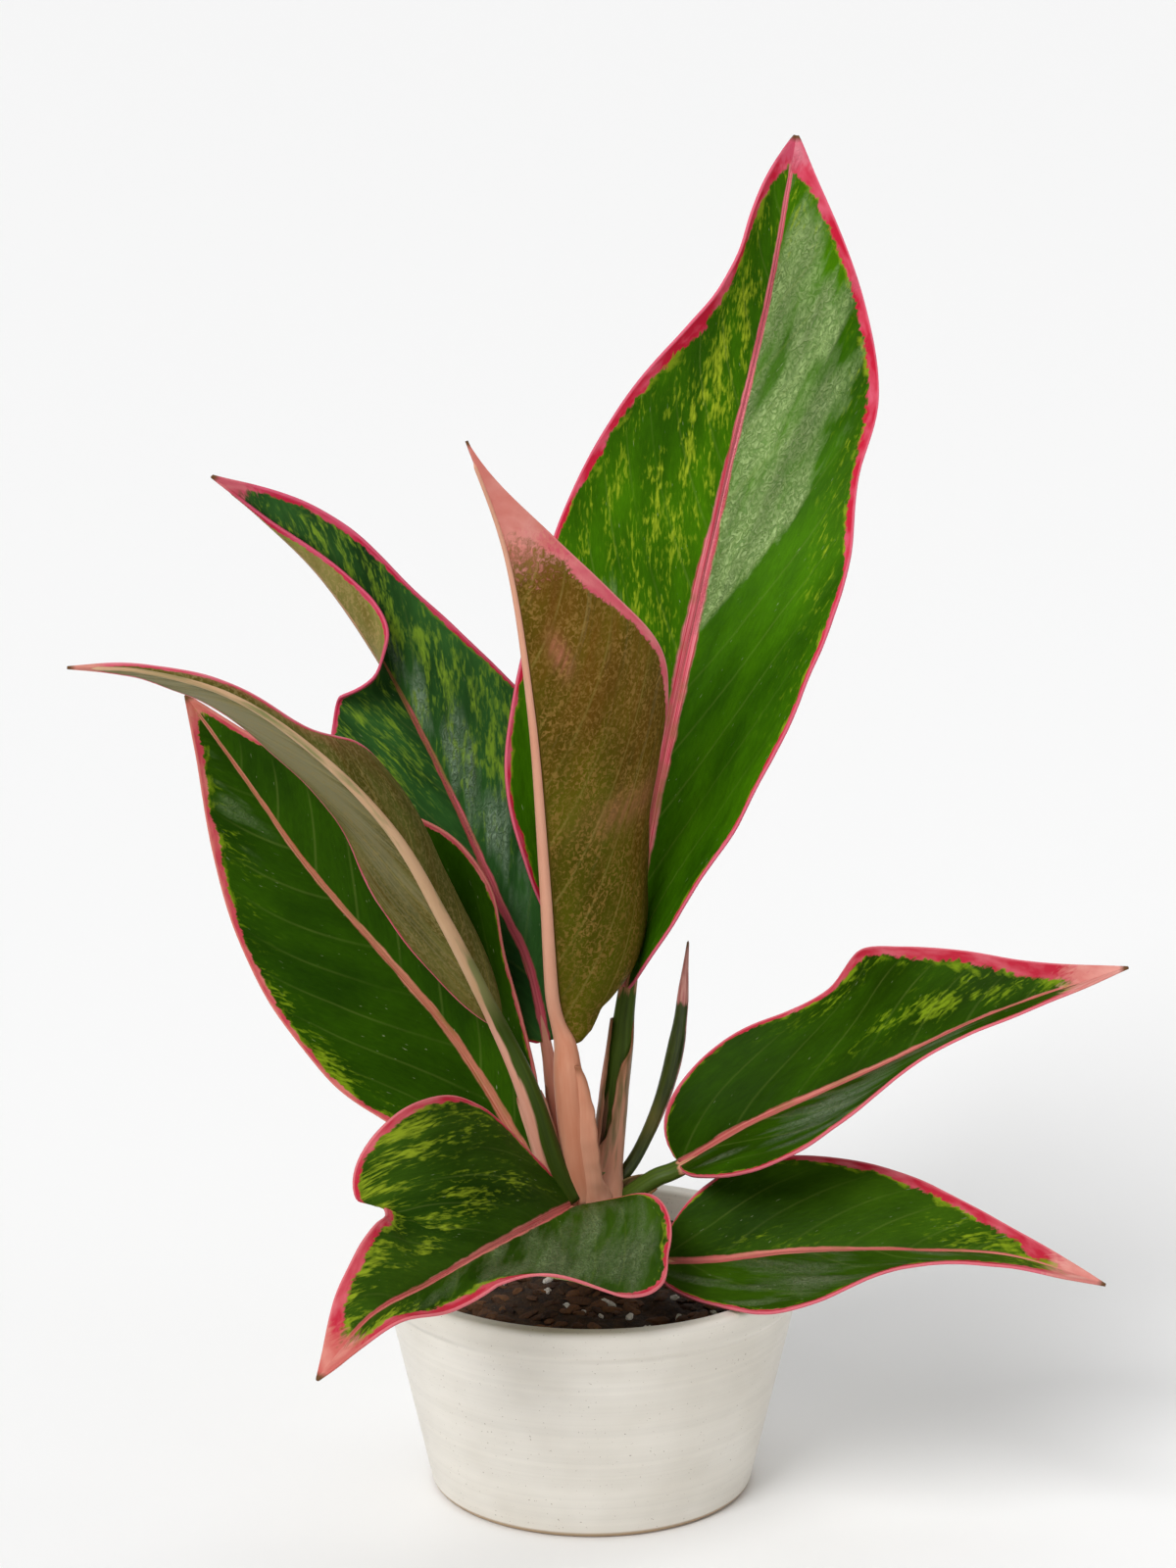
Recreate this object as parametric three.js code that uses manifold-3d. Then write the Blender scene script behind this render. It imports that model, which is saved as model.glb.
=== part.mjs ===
// A young aglaonema with red edged leaves, standing in a plain round pot. All sizes are in millimetres.
// The origin is the centre of the pot's flat bottom, +Z is up and the plant's best side looks along -Y.
import * as THREE from 'three';
import { mergeVertices } from 'three/addons/utils/BufferGeometryUtils.js';
import Module from 'manifold-3d';

const wasm = await Module();
wasm.setup();

// The clearance between two pieces that touch, and the thinnest sliver that a cut may leave.
const GAP = 0.3;
const SLIVER = 0.01;

// The pot: a low round pan with a ring of drain holes.
const POT_HEIGHT = 62;
const POT_BASE_RADIUS = 42;
const POT_RIM_RADIUS = 56;
const POT_WALL = 3.5;
const POT_FLOOR = 5;
const POT_LIP = 1.6;
const POT_LIP_HEIGHT = 9;
const POT_EDGE_ROUND = 1.2;
const POT_SEGMENTS = 48;
const DRAIN_HOLES = 5;
const DRAIN_RADIUS = 4;
const DRAIN_RING = 24;

// The potting mix, which fills the pot to just under the rim.
const MIX_LEVEL = 54;
const MIX_UNEVEN = 1.1;
const MIX_RINGS = 5;
const MIX_SEGMENTS = 36;

// The stem: a short upright cane with the rings that old leaves left.
const STEM_FOOT = 28;
const STEM_TOP = 86;
const STEM_RADIUS = 6.2;
const STEM_TAPER = 0.72;
const STEM_RING_STEP = 9;
const STEM_RING_HEIGHT = 0.5;
const STEM_SIDES = 12;

// The leaves: blade thickness, the strip of the blade that is built, the mesh's steps along and across, how the
// ridge under the rib tapers and stands off the blade, how the stalk thickens under the blade, and the free
// end of a sheath.
const BLADE_THICKNESS = 0.8;
const BLADE_START = 0.014;
const BLADE_END = 0.992;
const HALF_COLUMNS = 3;
const RIB_END = 0.94;
const RIB_TIP_RADIUS = 0.45;
const RIB_TAPER = 1.2;
const RIB_CROWDING = 1.4;
const FOOT_START = 0.3;
const FOOT_LENGTH = 5;
const RIDGE_SHIFT = 0.5;
const FLAP_RADIUS = 1.8;
const FLAP_TIP_RADIUS = 0.3;
const STALK_ROWS = 6;
const RIB_ROWS = 10;
const TUBE_SIDES = 8;

// Each leaf has a centre line of points [x, y, z]: first the stalk from the stem, then the rib from the
// blade's foot to its tip. `sheath` and `neck` are the stalk's radius at the stem and at the blade,
// `swell` says how long it stays thick, and `foot` how much thicker it is just under the blade.
// `low` and `high` shape the outline near the foot and near the tip. Each half of the blade has lists that
// run from foot to tip: its `width`, its lean in degrees beside the rib (`inner`) and at the edge (`outer`),
// where a positive lean comes forward, and the `sweep` of its veins towards the tip.
// `upper` is 1 where the green upper face looks forward and -1 where the brown underside does.
const LEAVES = [
  {
    name: 'leaf_centre', rows: 17, colour: 0x6b5638, upper: -1, low: 0.65, high: 1.05,
    sheath: 4.2, neck: 2.1, swell: 3, foot: 1.2,
    stalk: [[-0.5, -4, 78], [-2.3, -5.6, 90], [-3.6, -6.8, 108]],
    rib: [
      [-5, -8, 122], [-8, -10.5, 134], [-10.6, -20, 172], [-14, -32, 216], [-20, -42, 257],
      [-30, -54, 289],
    ],
    left: {
      width: [20, 22, 26, 30, 26, 14],
      inner: [-120, -120, -120, -120, -110, -100],
      outer: [-130, -135, -135, -135, -120, -100],
      sweep: [0, 0],
    },
    right: {
      width: [50, 48, 41.5, 39, 41.5, 43.5, 43, 35.5, 26, 17, 10],
      inner: [10, 0, -5, -5, -10, -15],
      outer: [-75, -85, -75, -50, -25, -10],
      sweep: [0, 0],
    },
  },
  {
    name: 'leaf_tall', rows: 20, colour: 0x2f6b2a, upper: 1, low: 0.6, high: 0.8,
    sheath: 3.8, neck: 2.1, swell: 2, foot: 0.3,
    stalk: [[3.2, 2, 80], [4.6, 4, 95], [7.2, 6.5, 116]],
    rib: [[9, 8, 132], [16, 18, 177], [26, 32, 223], [36, 44, 265], [46, 54, 307], [53, 58, 348]],
    flap: [[6.4, 1.8, 100], [7.2, 2.2, 109], [7.4, 1.4, 118]],
    left: {
      width: [54, 56, 54, 47.5, 42.8, 40.4, 38, 34.4, 30, 34, 24],
      inner: [40, 35, 25, 15, 5, 10, 15, 20, 20],
      outer: [30, 35, 25, 15, 5, 15, 50, 80, 20],
      sweep: [0, 0, 0, 5, 5, 5, 5, 5, 5],
    },
    right: {
      width: [36, 37, 38, 39, 40, 39.5, 37.6, 43, 41.5, 35.5, 24],
      inner: [70, 45, 30, 15, 10, 10],
      outer: [90, 60, 45, 15, 5, 5],
      sweep: [0, 0, 5, 10, 10, 10],
    },
  },
  {
    name: 'leaf_curled', rows: 28, colour: 0x2b5f33, upper: 1, low: 0.6, high: 1,
    sheath: 3.2, neck: 1.3, swell: 1, foot: 0.2,
    stalk: [[-4, 1, 80], [-7.6, 2, 92], [-10, 4, 107]],
    rib: [
      [-11.8, 6, 118], [-16.6, 11.5, 138], [-23.5, 16, 152], [-36, 26, 178], [-52.5, 32, 210],
      [-69, 34, 235], [-85, 32, 252], [-98, 28, 264],
    ],
    left: {
      width: [30, 31, 32, 33, 34, 35, 36, 35, 32, 28.5, 24.5, 19.5, 13, 16, 16, 14, 11, 8, 5, 5, 6],
      inner: [25, 25, 25, 25, 25, 26, 27, 28, 29, 30, 30, 35, 80, 105, 115, 118, 120, 116, 110, 105, 100],
      outer: [10, 10, 10, 10, 10, 10, 10, 8, 5, 2, 0, 10, 90, 140, 160, 163, 165, 160, 150, 130, 110],
      sweep: [0, 0, 0, 0, 5, 10, 15, 22, 28, 30, 30, 32, 10, 0, 0, 0, 0, 0, 0, 0, 0],
    },
    right: {
      width: [33, 33, 33, 33, 32, 28.5, 26, 25.5, 31, 36, 34],
      inner: [-10, -10, -5, 10, 20, 20],
      outer: [-10, -10, -5, 10, 20, 20],
      sweep: [0, 0, 5, 5, 5, 5],
    },
  },
  {
    name: 'leaf_arching', rows: 20, colour: 0x6f6548, upper: -1, low: 0.65, high: 1.1,
    sheath: 4.5, neck: 2.2, swell: 1, foot: 0.2,
    stalk: [[-6, -4.5, 79], [-10.6, -7, 90], [-16.6, -10, 111]],
    rib: [
      [-23.5, -12, 128], [-37, -26, 161], [-49, -38, 187], [-66, -48, 209], [-86, -56, 226],
      [-107, -62, 234], [-126, -66, 236],
    ],
    left: {
      width: [30, 29, 28, 30, 28, 26],
      inner: [-40, -45, -50, -55, -55, -60],
      outer: [-50, -55, -65, -65, -65, -65],
      sweep: [0, 0],
    },
    right: {
      width: [31, 28, 25, 25, 18, 6.2, 5.5, 6.5, 10],
      inner: [-45, -52, -54, -54, -58, -60, -50, -45, -40],
      outer: [-110, -125, -130, -115, -90, -70, -55, -50, -45],
      sweep: [0, 0, 0, 5, 10, 5, 0, 0, 0],
    },
  },
  {
    name: 'leaf_broad', rows: 18, colour: 0x2d6128, upper: 1, low: 0.55, high: 0.9,
    sheath: 2.8, neck: 2, swell: 1, foot: 0.2,
    stalk: [[-4, 0, 72], [-9, -1, 79]],
    rib: [
      [-16, -2, 89], [-34, 3, 118], [-52.8, 5, 141.4], [-72.4, 5, 165.2], [-89.2, 3, 191],
      [-103, -4, 214],
    ],
    left: {
      width: [28, 30, 31.5, 32.6, 32, 31.8, 30, 27.6, 25.5, 22, 19],
      inner: [10, 10, 10, 10, 15, 20],
      outer: [10, 10, 10, 10, 15, 20],
      sweep: [0, 0],
    },
    right: {
      width: [17, 18.5, 21, 26, 34, 37.5, 36, 32.5, 28, 24, 22],
      inner: [15, 15, 10, 10, 15, 20],
      outer: [15, 15, 10, 10, 15, 20],
      sweep: [0, 0],
    },
  },
  {
    name: 'leaf_front', rows: 24, colour: 0x356f2b, upper: 1, low: 0.4, high: 0.9,
    sheath: 2.8, neck: 2, swell: 1, foot: 0.2,
    stalk: [[-0.5, -3, 72]],
    rib: [[-4, -8, 78], [-13, -30, 82], [-26, -55, 84], [-39, -78, 84], [-53, -98, 83], [-66, -112, 72]],
    left: {
      width: [36, 36.8, 38, 42, 40, 33, 26, 24, 28.5, 33, 32],
      inner: [138, 97, 83, 95, 85, 75],
      outer: [148, 103, 88, 100, 85, 75],
      sweep: [0, 0],
    },
    right: {
      width: [10, 13, 19, 28, 35, 40, 43.2, 45.6, 45.3, 42, 36, 29, 26, 27, 29, 29, 26, 24, 22, 20, 18],
      inner: [-60, -45, -35, -30, -30, -30, -30, -30, -35],
      outer: [-60, -50, -40, -40, -80, -50, -30, -30, -40],
      sweep: [-20, -12, -3, 4, 10, 15, 21, 27, 30, 29, 25, 8, 6, 5, 5, 5, 5, 5, 4, 2, 0],
    },
  },
  {
    name: 'leaf_upper', rows: 18, colour: 0x2f6b2b, upper: 1, low: 0.6, high: 0.95,
    sheath: 3, neck: 2.1, swell: 1, foot: 0.2,
    stalk: [[4, -0.5, 75], [9.5, -2, 79.5], [16, -3, 84.5]],
    rib: [[23, -4, 88], [40, -8, 100], [58, -12, 110], [76, -16, 120], [102, -22, 135], [135, -30, 150]],
    left: {
      width: [34, 29.5, 28.5, 26.5, 27, 32.5, 29.5, 25.2, 19.8, 16.6, 15],
      inner: [-10, -40, -45, -30, -35, -40],
      outer: [-5, -40, -50, -30, -35, -40],
      sweep: [-15, -5, 0, 0, 0, 0, 0, 0, 0, 0, 0],
    },
    right: {
      width: [29, 32, 30, 27.5, 29, 30],
      inner: [90, 85, 90, 98, 98, 95],
      outer: [90, 85, 92, 104, 104, 100],
      sweep: [0, 0],
    },
  },
  {
    name: 'leaf_lower', rows: 18, colour: 0x2e662a, upper: 1, low: 0.6, high: 0.95,
    sheath: 2.6, neck: 1.9, swell: 1, foot: 0.2,
    stalk: [[4, -3, 66], [10, -10, 65.5]],
    rib: [
      [17, -16, 66], [31, -22, 68.4], [49, -29, 73.2], [66, -35, 76.2], [83, -41, 78.2],
      [105, -48, 79.4], [129, -54, 74],
    ],
    left: {
      width: [34, 31, 29.3, 27, 25.4, 24.1, 22.2, 18.2, 13.6, 12.4, 12],
      inner: [-35, -40, -45, -50, -50, -50],
      outer: [-35, -40, -45, -55, -55, -55],
      sweep: [0, 0],
    },
    right: {
      width: [22, 21, 22, 26.3, 28.4, 26.5, 19, 16.5, 22, 25, 26],
      inner: [70, 70, 80, 92, 92, 90],
      outer: [70, 75, 85, 100, 102, 100],
      sweep: [0, 0],
    },
  },
];

// The youngest leaf, still rolled: a spike whose section is a closed spiral with one small step.
const ROLLED_LINE = [
  [4, 3, 78], [10, 4.2, 84.5], [14.5, 5, 92.8], [18.6, 5.6, 103.3], [21.4, 5.8, 114], [23.1, 5.5, 125],
  [24, 5.2, 136], [24.9, 5, 146.2],
];
const ROLLED_RADII = [2, 1.9, 1.8, 1.85, 2, 2.2, 2.2, 1.7, 1.4, 0.75, 0.25];
const ROLLED_STEP = 0.22;
const ROLLED_SIDES = 12;
const ROLLED_ROWS = 16;

const FORWARD = new THREE.Vector3(0, -1, 0);
const EAST = new THREE.Vector3(1, 0, 0);
const NORTH = new THREE.Vector3(0, 1, 0);

// The value at t (0 to 1) of a smooth line through evenly spaced values.
function along(values, t) {
  const last = values.length - 1;
  const place = THREE.MathUtils.clamp(t, 0, 1) * last;
  const i = Math.min(Math.floor(place), last - 1);
  const f = place - i;
  const before = i > 0 ? values[i - 1] : 2 * values[0] - values[1];
  const after = i + 2 <= last ? values[i + 2] : 2 * values[last] - values[last - 1];
  const slopeA = (values[i + 1] - before) / 2;
  const slopeB = (after - values[i]) / 2;
  const rise = values[i + 1] - values[i];
  const f2 = f * f;
  const f3 = f2 * f;
  return values[i] + (f3 - 2 * f2 + f) * slopeA + (3 * f2 - 2 * f3) * rise + (f3 - f2) * slopeB;
}

function pointAlong(points, t) {
  return new THREE.Vector3(...[0, 1, 2].map((axis) => along(points.map((point) => point[axis]), t)));
}

// A smooth line through the points, from the one numbered `first` to the last, measured by its length, which it
// keeps as its total.
function measuredLine(points, first = 0) {
  const steps = 200;
  const begin = first / (points.length - 1);
  const places = [];
  const lengths = [0];
  for (let k = 0; k <= steps; k += 1) {
    places.push(begin + (1 - begin) * (k / steps));
    if (k > 0) {
      const step = pointAlong(points, places[k]).distanceTo(pointAlong(points, places[k - 1]));
      lengths.push(lengths[k - 1] + step);
    }
  }
  const place = (t) => {
    const wanted = THREE.MathUtils.clamp(t, 0, 1) * lengths[steps];
    let k = 1;
    while (k < steps && lengths[k] < wanted) {
      k += 1;
    }
    const f = (wanted - lengths[k - 1]) / (lengths[k] - lengths[k - 1]);
    return pointAlong(points, places[k - 1] + f * (places[k] - places[k - 1]));
  };
  place.total = lengths[steps];
  return place;
}

// The directions at a place on a line: along it, forward across it and sideways across it.
function directions(line, t) {
  const step = 0.002;
  const ahead = line(Math.min(t + step, 1)).sub(line(Math.max(t - step, 0))).normalize();
  const front = FORWARD.clone().addScaledVector(ahead, -FORWARD.dot(ahead)).normalize();
  const side = new THREE.Vector3().crossVectors(ahead, front);
  return { ahead, front, side };
}

// The share of its full width that a blade has at t.
function outline(leaf, t) {
  const widest = leaf.low / (leaf.low + leaf.high);
  return (t / widest) ** leaf.low * ((1 - t) / (1 - widest)) ** leaf.high;
}

function lineOf(leaf) {
  return measuredLine([...leaf.stalk, ...leaf.rib], leaf.stalk.length);
}

// A point of the blade: `across` goes from -1 at the left edge over 0 at the rib to 1 at the right edge.
function bladePoint(leaf, line, t, across) {
  const half = across < 0 ? leaf.left : leaf.right;
  const v = Math.abs(across);
  const { ahead, front, side } = directions(line, t);
  const width = along(half.width, t) * outline(leaf, t);
  const inner = THREE.MathUtils.degToRad(along(half.inner, t));
  const outer = THREE.MathUtils.degToRad(along(half.outer, t));
  const sweep = THREE.MathUtils.degToRad(along(half.sweep, t));
  const bend = outer - inner;
  const straight = Math.abs(bend) < 1e-4;
  const lean = inner + bend * v;
  const out = straight ? v * Math.cos(inner) : (Math.sin(lean) - Math.sin(inner)) / bend;
  const up = straight ? v * Math.sin(inner) : (Math.cos(inner) - Math.cos(lean)) / bend;
  const reach = width * Math.cos(sweep);
  return line(t)
    .addScaledVector(side, Math.sign(across) * out * reach)
    .addScaledVector(front, up * reach)
    .addScaledVector(ahead, width * Math.sin(sweep) * v);
}

// The direction of the ridge under the rib: away from the upper face, halfway between the two halves.
function ridgeDirection(leaf, line, t) {
  const { front, side } = directions(line, t);
  const left = THREE.MathUtils.degToRad(along(leaf.left.inner, t));
  const right = THREE.MathUtils.degToRad(along(leaf.right.inner, t));
  return new THREE.Vector3()
    .addScaledVector(front, Math.cos(left) + Math.cos(right))
    .addScaledVector(side, Math.sin(left) - Math.sin(right))
    .normalize()
    .multiplyScalar(-leaf.upper);
}

// Turns a closed mesh of merged points into a solid, and a solid back into a mesh geometry without slivers.
function solidFrom(points, triangles) {
  const mesh = new wasm.Mesh({
    numProp: 3,
    vertProperties: new Float32Array(points.flatMap((point) => point.toArray())),
    triVerts: new Uint32Array(triangles.flat()),
  });
  return new wasm.Manifold(mesh);
}

function solidOf(geometry) {
  const bare = geometry.clone();
  bare.deleteAttribute('normal');
  bare.deleteAttribute('uv');
  const merged = mergeVertices(bare, 1e-4);
  const mesh = new wasm.Mesh({
    numProp: 3,
    vertProperties: Float32Array.from(merged.attributes.position.array),
    triVerts: Uint32Array.from(merged.index.array),
  });
  return new wasm.Manifold(mesh);
}

function geometryOf(solid) {
  const mesh = solid.asOriginal().simplify(SLIVER).getMesh();
  const geometry = new THREE.BufferGeometry();
  geometry.setAttribute('position', new THREE.BufferAttribute(mesh.vertProperties, 3));
  geometry.setIndex(new THREE.BufferAttribute(mesh.triVerts, 1));
  geometry.computeVertexNormals();
  return geometry;
}

function largestPiece(solid) {
  const pieces = solid.decompose();
  return pieces.reduce((best, piece) => (piece.volume() > best.volume() ? piece : best));
}

// A closed tube: rings of points joined one to the next, with a fan over each end.
function tube(rings) {
  const sides = rings[0].length;
  const points = rings.flat();
  const triangles = [];
  for (let row = 0; row + 1 < rings.length; row += 1) {
    for (let k = 0; k < sides; k += 1) {
      const next = (k + 1) % sides;
      const a = row * sides + k;
      const b = row * sides + next;
      triangles.push([a, b, b + sides], [a, b + sides, a + sides]);
    }
  }
  const lastRing = (rings.length - 1) * sides;
  for (let k = 1; k + 1 < sides; k += 1) {
    triangles.push([0, k + 1, k], [lastRing, lastRing + k, lastRing + k + 1]);
  }
  return solidFrom(points, triangles);
}

// One ring round a line; `radiusAt` gives the radius at an angle, for sections that aren't round.
function ring(centre, first, second, sides, radiusAt) {
  const points = [];
  for (let k = 0; k < sides; k += 1) {
    const angle = (2 * Math.PI * k) / sides;
    const radius = radiusAt(angle);
    points.push(
      centre.clone()
        .addScaledVector(first, radius * Math.cos(angle))
        .addScaledVector(second, radius * Math.sin(angle)),
    );
  }
  return points;
}

// The blade as a thin slab. Both faces are split along the same diagonals.
function bladeSolid(leaf) {
  const line = lineOf(leaf);
  const columns = 2 * HALF_COLUMNS;
  const sheet = [];
  for (let row = 0; row <= leaf.rows; row += 1) {
    const t = BLADE_START + (BLADE_END - BLADE_START) * (row / leaf.rows);
    const points = [];
    for (let column = 0; column <= columns; column += 1) {
      points.push(bladePoint(leaf, line, t, column / HALF_COLUMNS - 1));
    }
    sheet.push(points);
  }
  const front = [];
  const back = [];
  sheet.forEach((points, row) => {
    points.forEach((point, column) => {
      const ahead = sheet[Math.min(row + 1, leaf.rows)][column].clone()
        .sub(sheet[Math.max(row - 1, 0)][column]);
      // Unit steps to both sides, so that a sharp fold gets the normal halfway between its two sides.
      const right = new THREE.Vector3();
      if (column < columns) {
        right.add(points[column + 1].clone().sub(point).normalize());
      }
      if (column > 0) {
        right.sub(points[column - 1].clone().sub(point).normalize());
      }
      const normal = new THREE.Vector3().crossVectors(right, ahead).normalize();
      front.push(point.clone().addScaledVector(normal, BLADE_THICKNESS / 2));
      back.push(point.clone().addScaledVector(normal, -BLADE_THICKNESS / 2));
    });
  });
  const width = columns + 1;
  const count = front.length;
  const triangles = [];
  for (let row = 0; row < leaf.rows; row += 1) {
    for (let column = 0; column < columns; column += 1) {
      const a = row * width + column;
      const b = a + 1;
      const c = a + width + 1;
      const d = a + width;
      triangles.push([a, b, c], [a, c, d]);
      triangles.push([count + a, count + c, count + b], [count + a, count + d, count + c]);
    }
  }
  const edge = (a, b) => triangles.push([a, count + a, count + b], [a, count + b, b]);
  for (let column = 0; column < columns; column += 1) {
    edge(column, column + 1);
    edge(leaf.rows * width + column + 1, leaf.rows * width + column);
  }
  for (let row = 0; row < leaf.rows; row += 1) {
    edge((row + 1) * width, row * width);
    edge(row * width + columns, (row + 1) * width + columns);
  }
  return solidFrom([...front, ...back], triangles);
}

// The stalk with the ridge under the rib, as one tapering tube. `extra` makes it thicker all round.
function stalkSolid(leaf, extra) {
  const points = [...leaf.stalk, ...leaf.rib];
  const share = leaf.stalk.length / (points.length - 1);
  const rib = lineOf(leaf);
  const rings = [];
  const addRing = (centre, frame, ridge, radius) => {
    const shifted = centre.addScaledVector(ridge, radius * RIDGE_SHIFT);
    rings.push(ring(shifted, frame.front, frame.side, TUBE_SIDES, () => radius + extra));
  };
  for (let row = 0; row < STALK_ROWS; row += 1) {
    const u = row / STALK_ROWS;
    const foot = leaf.foot * THREE.MathUtils.smoothstep(u, FOOT_START, 1);
    const radius = leaf.neck + (leaf.sheath - leaf.neck) * (1 - u ** leaf.swell) + foot;
    const place = (t) => pointAlong(points, t);
    addRing(place(u * share), directions(place, u * share), ridgeDirection(leaf, rib, 0), radius);
  }
  for (let row = 0; row <= RIB_ROWS; row += 1) {
    const t = RIB_END * (row / RIB_ROWS) ** RIB_CROWDING;
    const foot = leaf.foot * Math.exp(-((rib.total * t / FOOT_LENGTH) ** 2));
    const radius = RIB_TIP_RADIUS + (leaf.neck - RIB_TIP_RADIUS) * (1 - t) ** RIB_TAPER + foot;
    addRing(rib(t), directions(rib, t), ridgeDirection(leaf, rib, t), radius);
  }
  return tube(rings);
}

// The free pointed end of a stalk's sheath.
function flapSolid(leaf, extra) {
  const place = (t) => pointAlong(leaf.flap, t);
  const rings = [0, 0.35, 0.7, 1].map((t) => {
    const frame = directions(place, t);
    const radius = FLAP_TIP_RADIUS + (FLAP_RADIUS - FLAP_TIP_RADIUS) * (1 - t) + extra;
    return ring(place(t), frame.front, frame.side, TUBE_SIDES, () => radius);
  });
  return tube(rings);
}

function stemSolid(extra) {
  const rows = 2 * Math.round((STEM_TOP - STEM_FOOT) / STEM_RING_STEP);
  const rings = [];
  for (let row = 0; row <= rows; row += 1) {
    const u = row / rows;
    const scar = row % 2 === 1 ? STEM_RING_HEIGHT : 0;
    const radius = STEM_RADIUS * (1 - (1 - STEM_TAPER) * u) + scar + extra;
    const end = row === 0 ? -extra : row === rows ? extra : 0;
    const centre = new THREE.Vector3(0, 0, STEM_FOOT + (STEM_TOP - STEM_FOOT) * u + end);
    rings.push(ring(centre, EAST, NORTH, STEM_SIDES, () => radius));
  }
  return tube(rings);
}

function rolledLeafSolid() {
  const place = measuredLine(ROLLED_LINE);
  const rings = [];
  for (let row = 0; row <= ROLLED_ROWS; row += 1) {
    const t = row / ROLLED_ROWS;
    const frame = directions(place, t);
    const radius = along(ROLLED_RADII, t);
    const spiral = (angle) => radius * (1 - ROLLED_STEP / 2 + (ROLLED_STEP * angle) / (2 * Math.PI));
    rings.push(ring(place(t), frame.front, frame.side, ROLLED_SIDES, spiral));
  }
  return tube(rings);
}

function potSolid() {
  const slope = (POT_RIM_RADIUS - POT_BASE_RADIUS) / POT_HEIGHT;
  const outerAt = (z) => POT_BASE_RADIUS + slope * z;
  const lipFoot = POT_HEIGHT - POT_LIP_HEIGHT;
  const profile = [
    [0, 0],
    [POT_BASE_RADIUS - POT_EDGE_ROUND, 0],
    [POT_BASE_RADIUS, POT_EDGE_ROUND],
    [outerAt(lipFoot), lipFoot],
    [outerAt(lipFoot) + POT_LIP, lipFoot + POT_LIP],
    [POT_RIM_RADIUS + POT_LIP, POT_HEIGHT - POT_EDGE_ROUND],
    [POT_RIM_RADIUS + POT_LIP - POT_EDGE_ROUND, POT_HEIGHT],
    [POT_RIM_RADIUS - POT_WALL + POT_EDGE_ROUND, POT_HEIGHT],
    [POT_RIM_RADIUS - POT_WALL, POT_HEIGHT - POT_EDGE_ROUND],
    [innerRadius(POT_FLOOR), POT_FLOOR],
    [0, POT_FLOOR],
  ].map(([radius, z]) => new THREE.Vector2(radius, z));
  const body = solidOf(new THREE.LatheGeometry(profile, POT_SEGMENTS).rotateX(Math.PI / 2));
  const holes = [];
  for (let k = 0; k < DRAIN_HOLES; k += 1) {
    const angle = (2 * Math.PI * k) / DRAIN_HOLES;
    const hole = new THREE.CylinderGeometry(DRAIN_RADIUS, DRAIN_RADIUS, 4 * POT_FLOOR, 20)
      .rotateX(Math.PI / 2)
      .translate(DRAIN_RING * Math.cos(angle), DRAIN_RING * Math.sin(angle), 0);
    holes.push(solidOf(hole));
  }
  return holes.reduce((pot, hole) => pot.subtract(hole), body);
}

// The pot's inside radius at a height above its floor.
function innerRadius(z) {
  const slope = (POT_RIM_RADIUS - POT_BASE_RADIUS) / POT_HEIGHT;
  return POT_BASE_RADIUS - POT_WALL + slope * z;
}

// The top of the potting mix: nearly level, with low mounds, and slightly heaped at the stem.
function mixHeight(x, y) {
  const mounds = Math.sin(x * 0.17 + 1) * Math.cos(y * 0.21) + 0.5 * Math.sin(x * 0.41 + y * 0.33);
  return MIX_LEVEL + MIX_UNEVEN * mounds + 2 * Math.exp(-(x * x + y * y) / 400);
}

function mixSolid() {
  const bottom = POT_FLOOR + GAP;
  const rings = [];
  const circle = (radius, height) => {
    const points = [];
    for (let k = 0; k < MIX_SEGMENTS; k += 1) {
      const angle = (2 * Math.PI * k) / MIX_SEGMENTS;
      const x = radius * Math.cos(angle);
      const y = radius * Math.sin(angle);
      points.push(new THREE.Vector3(x, y, height === null ? mixHeight(x, y) : height));
    }
    return points;
  };
  const foot = innerRadius(bottom) - GAP;
  const top = innerRadius(MIX_LEVEL) - 2 * GAP;
  rings.push(circle(0.5, bottom), circle(foot, bottom), circle(top, null));
  for (let k = 1; k < MIX_RINGS; k += 1) {
    rings.push(circle(top * (1 - k / MIX_RINGS), null));
  }
  rings.push(circle(0.5, null));
  return tube(rings).subtract(stemSolid(GAP));
}

function addPiece(group, name, solid, colour, roughness) {
  const material = new THREE.MeshStandardMaterial({ color: colour, roughness, metalness: 0 });
  const mesh = new THREE.Mesh(geometryOf(solid), material);
  mesh.name = name;
  group.add(mesh);
}

// Each leaf is cut clear of the stem and of the stalks before it, so every stalk sits 0.3 mm off its seat.
function addLeaves(group) {
  const seats = [stemSolid(GAP)];
  for (const leaf of LEAVES) {
    const parts = [stalkSolid(leaf, 0)];
    const seat = [stalkSolid(leaf, GAP)];
    if (leaf.flap) {
      parts.push(flapSolid(leaf, 0));
      seat.push(flapSolid(leaf, GAP));
    }
    const whole = parts.reduce((sum, part) => sum.add(part), bladeSolid(leaf));
    const cut = seats.reduce((rest, other) => rest.subtract(other), whole);
    addPiece(group, leaf.name, largestPiece(cut), leaf.colour, 0.45);
    seats.push(...seat);
  }
  const rolled = seats.reduce((rest, other) => rest.subtract(other), rolledLeafSolid());
  addPiece(group, 'leaf_rolled', largestPiece(rolled), 0x3b6a2f, 0.45);
}

const plant = new THREE.Group();
addPiece(plant, 'pot', potSolid(), 0xe6e1d8, 0.6);
addPiece(plant, 'potting_mix', mixSolid(), 0x3a2a20, 0.95);
addPiece(plant, 'stem', stemSolid(0), 0x6f7f3f, 0.6);
addLeaves(plant);

export default plant;
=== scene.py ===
import math
import random

import bpy
import numpy as np
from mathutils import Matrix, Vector, noise


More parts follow.
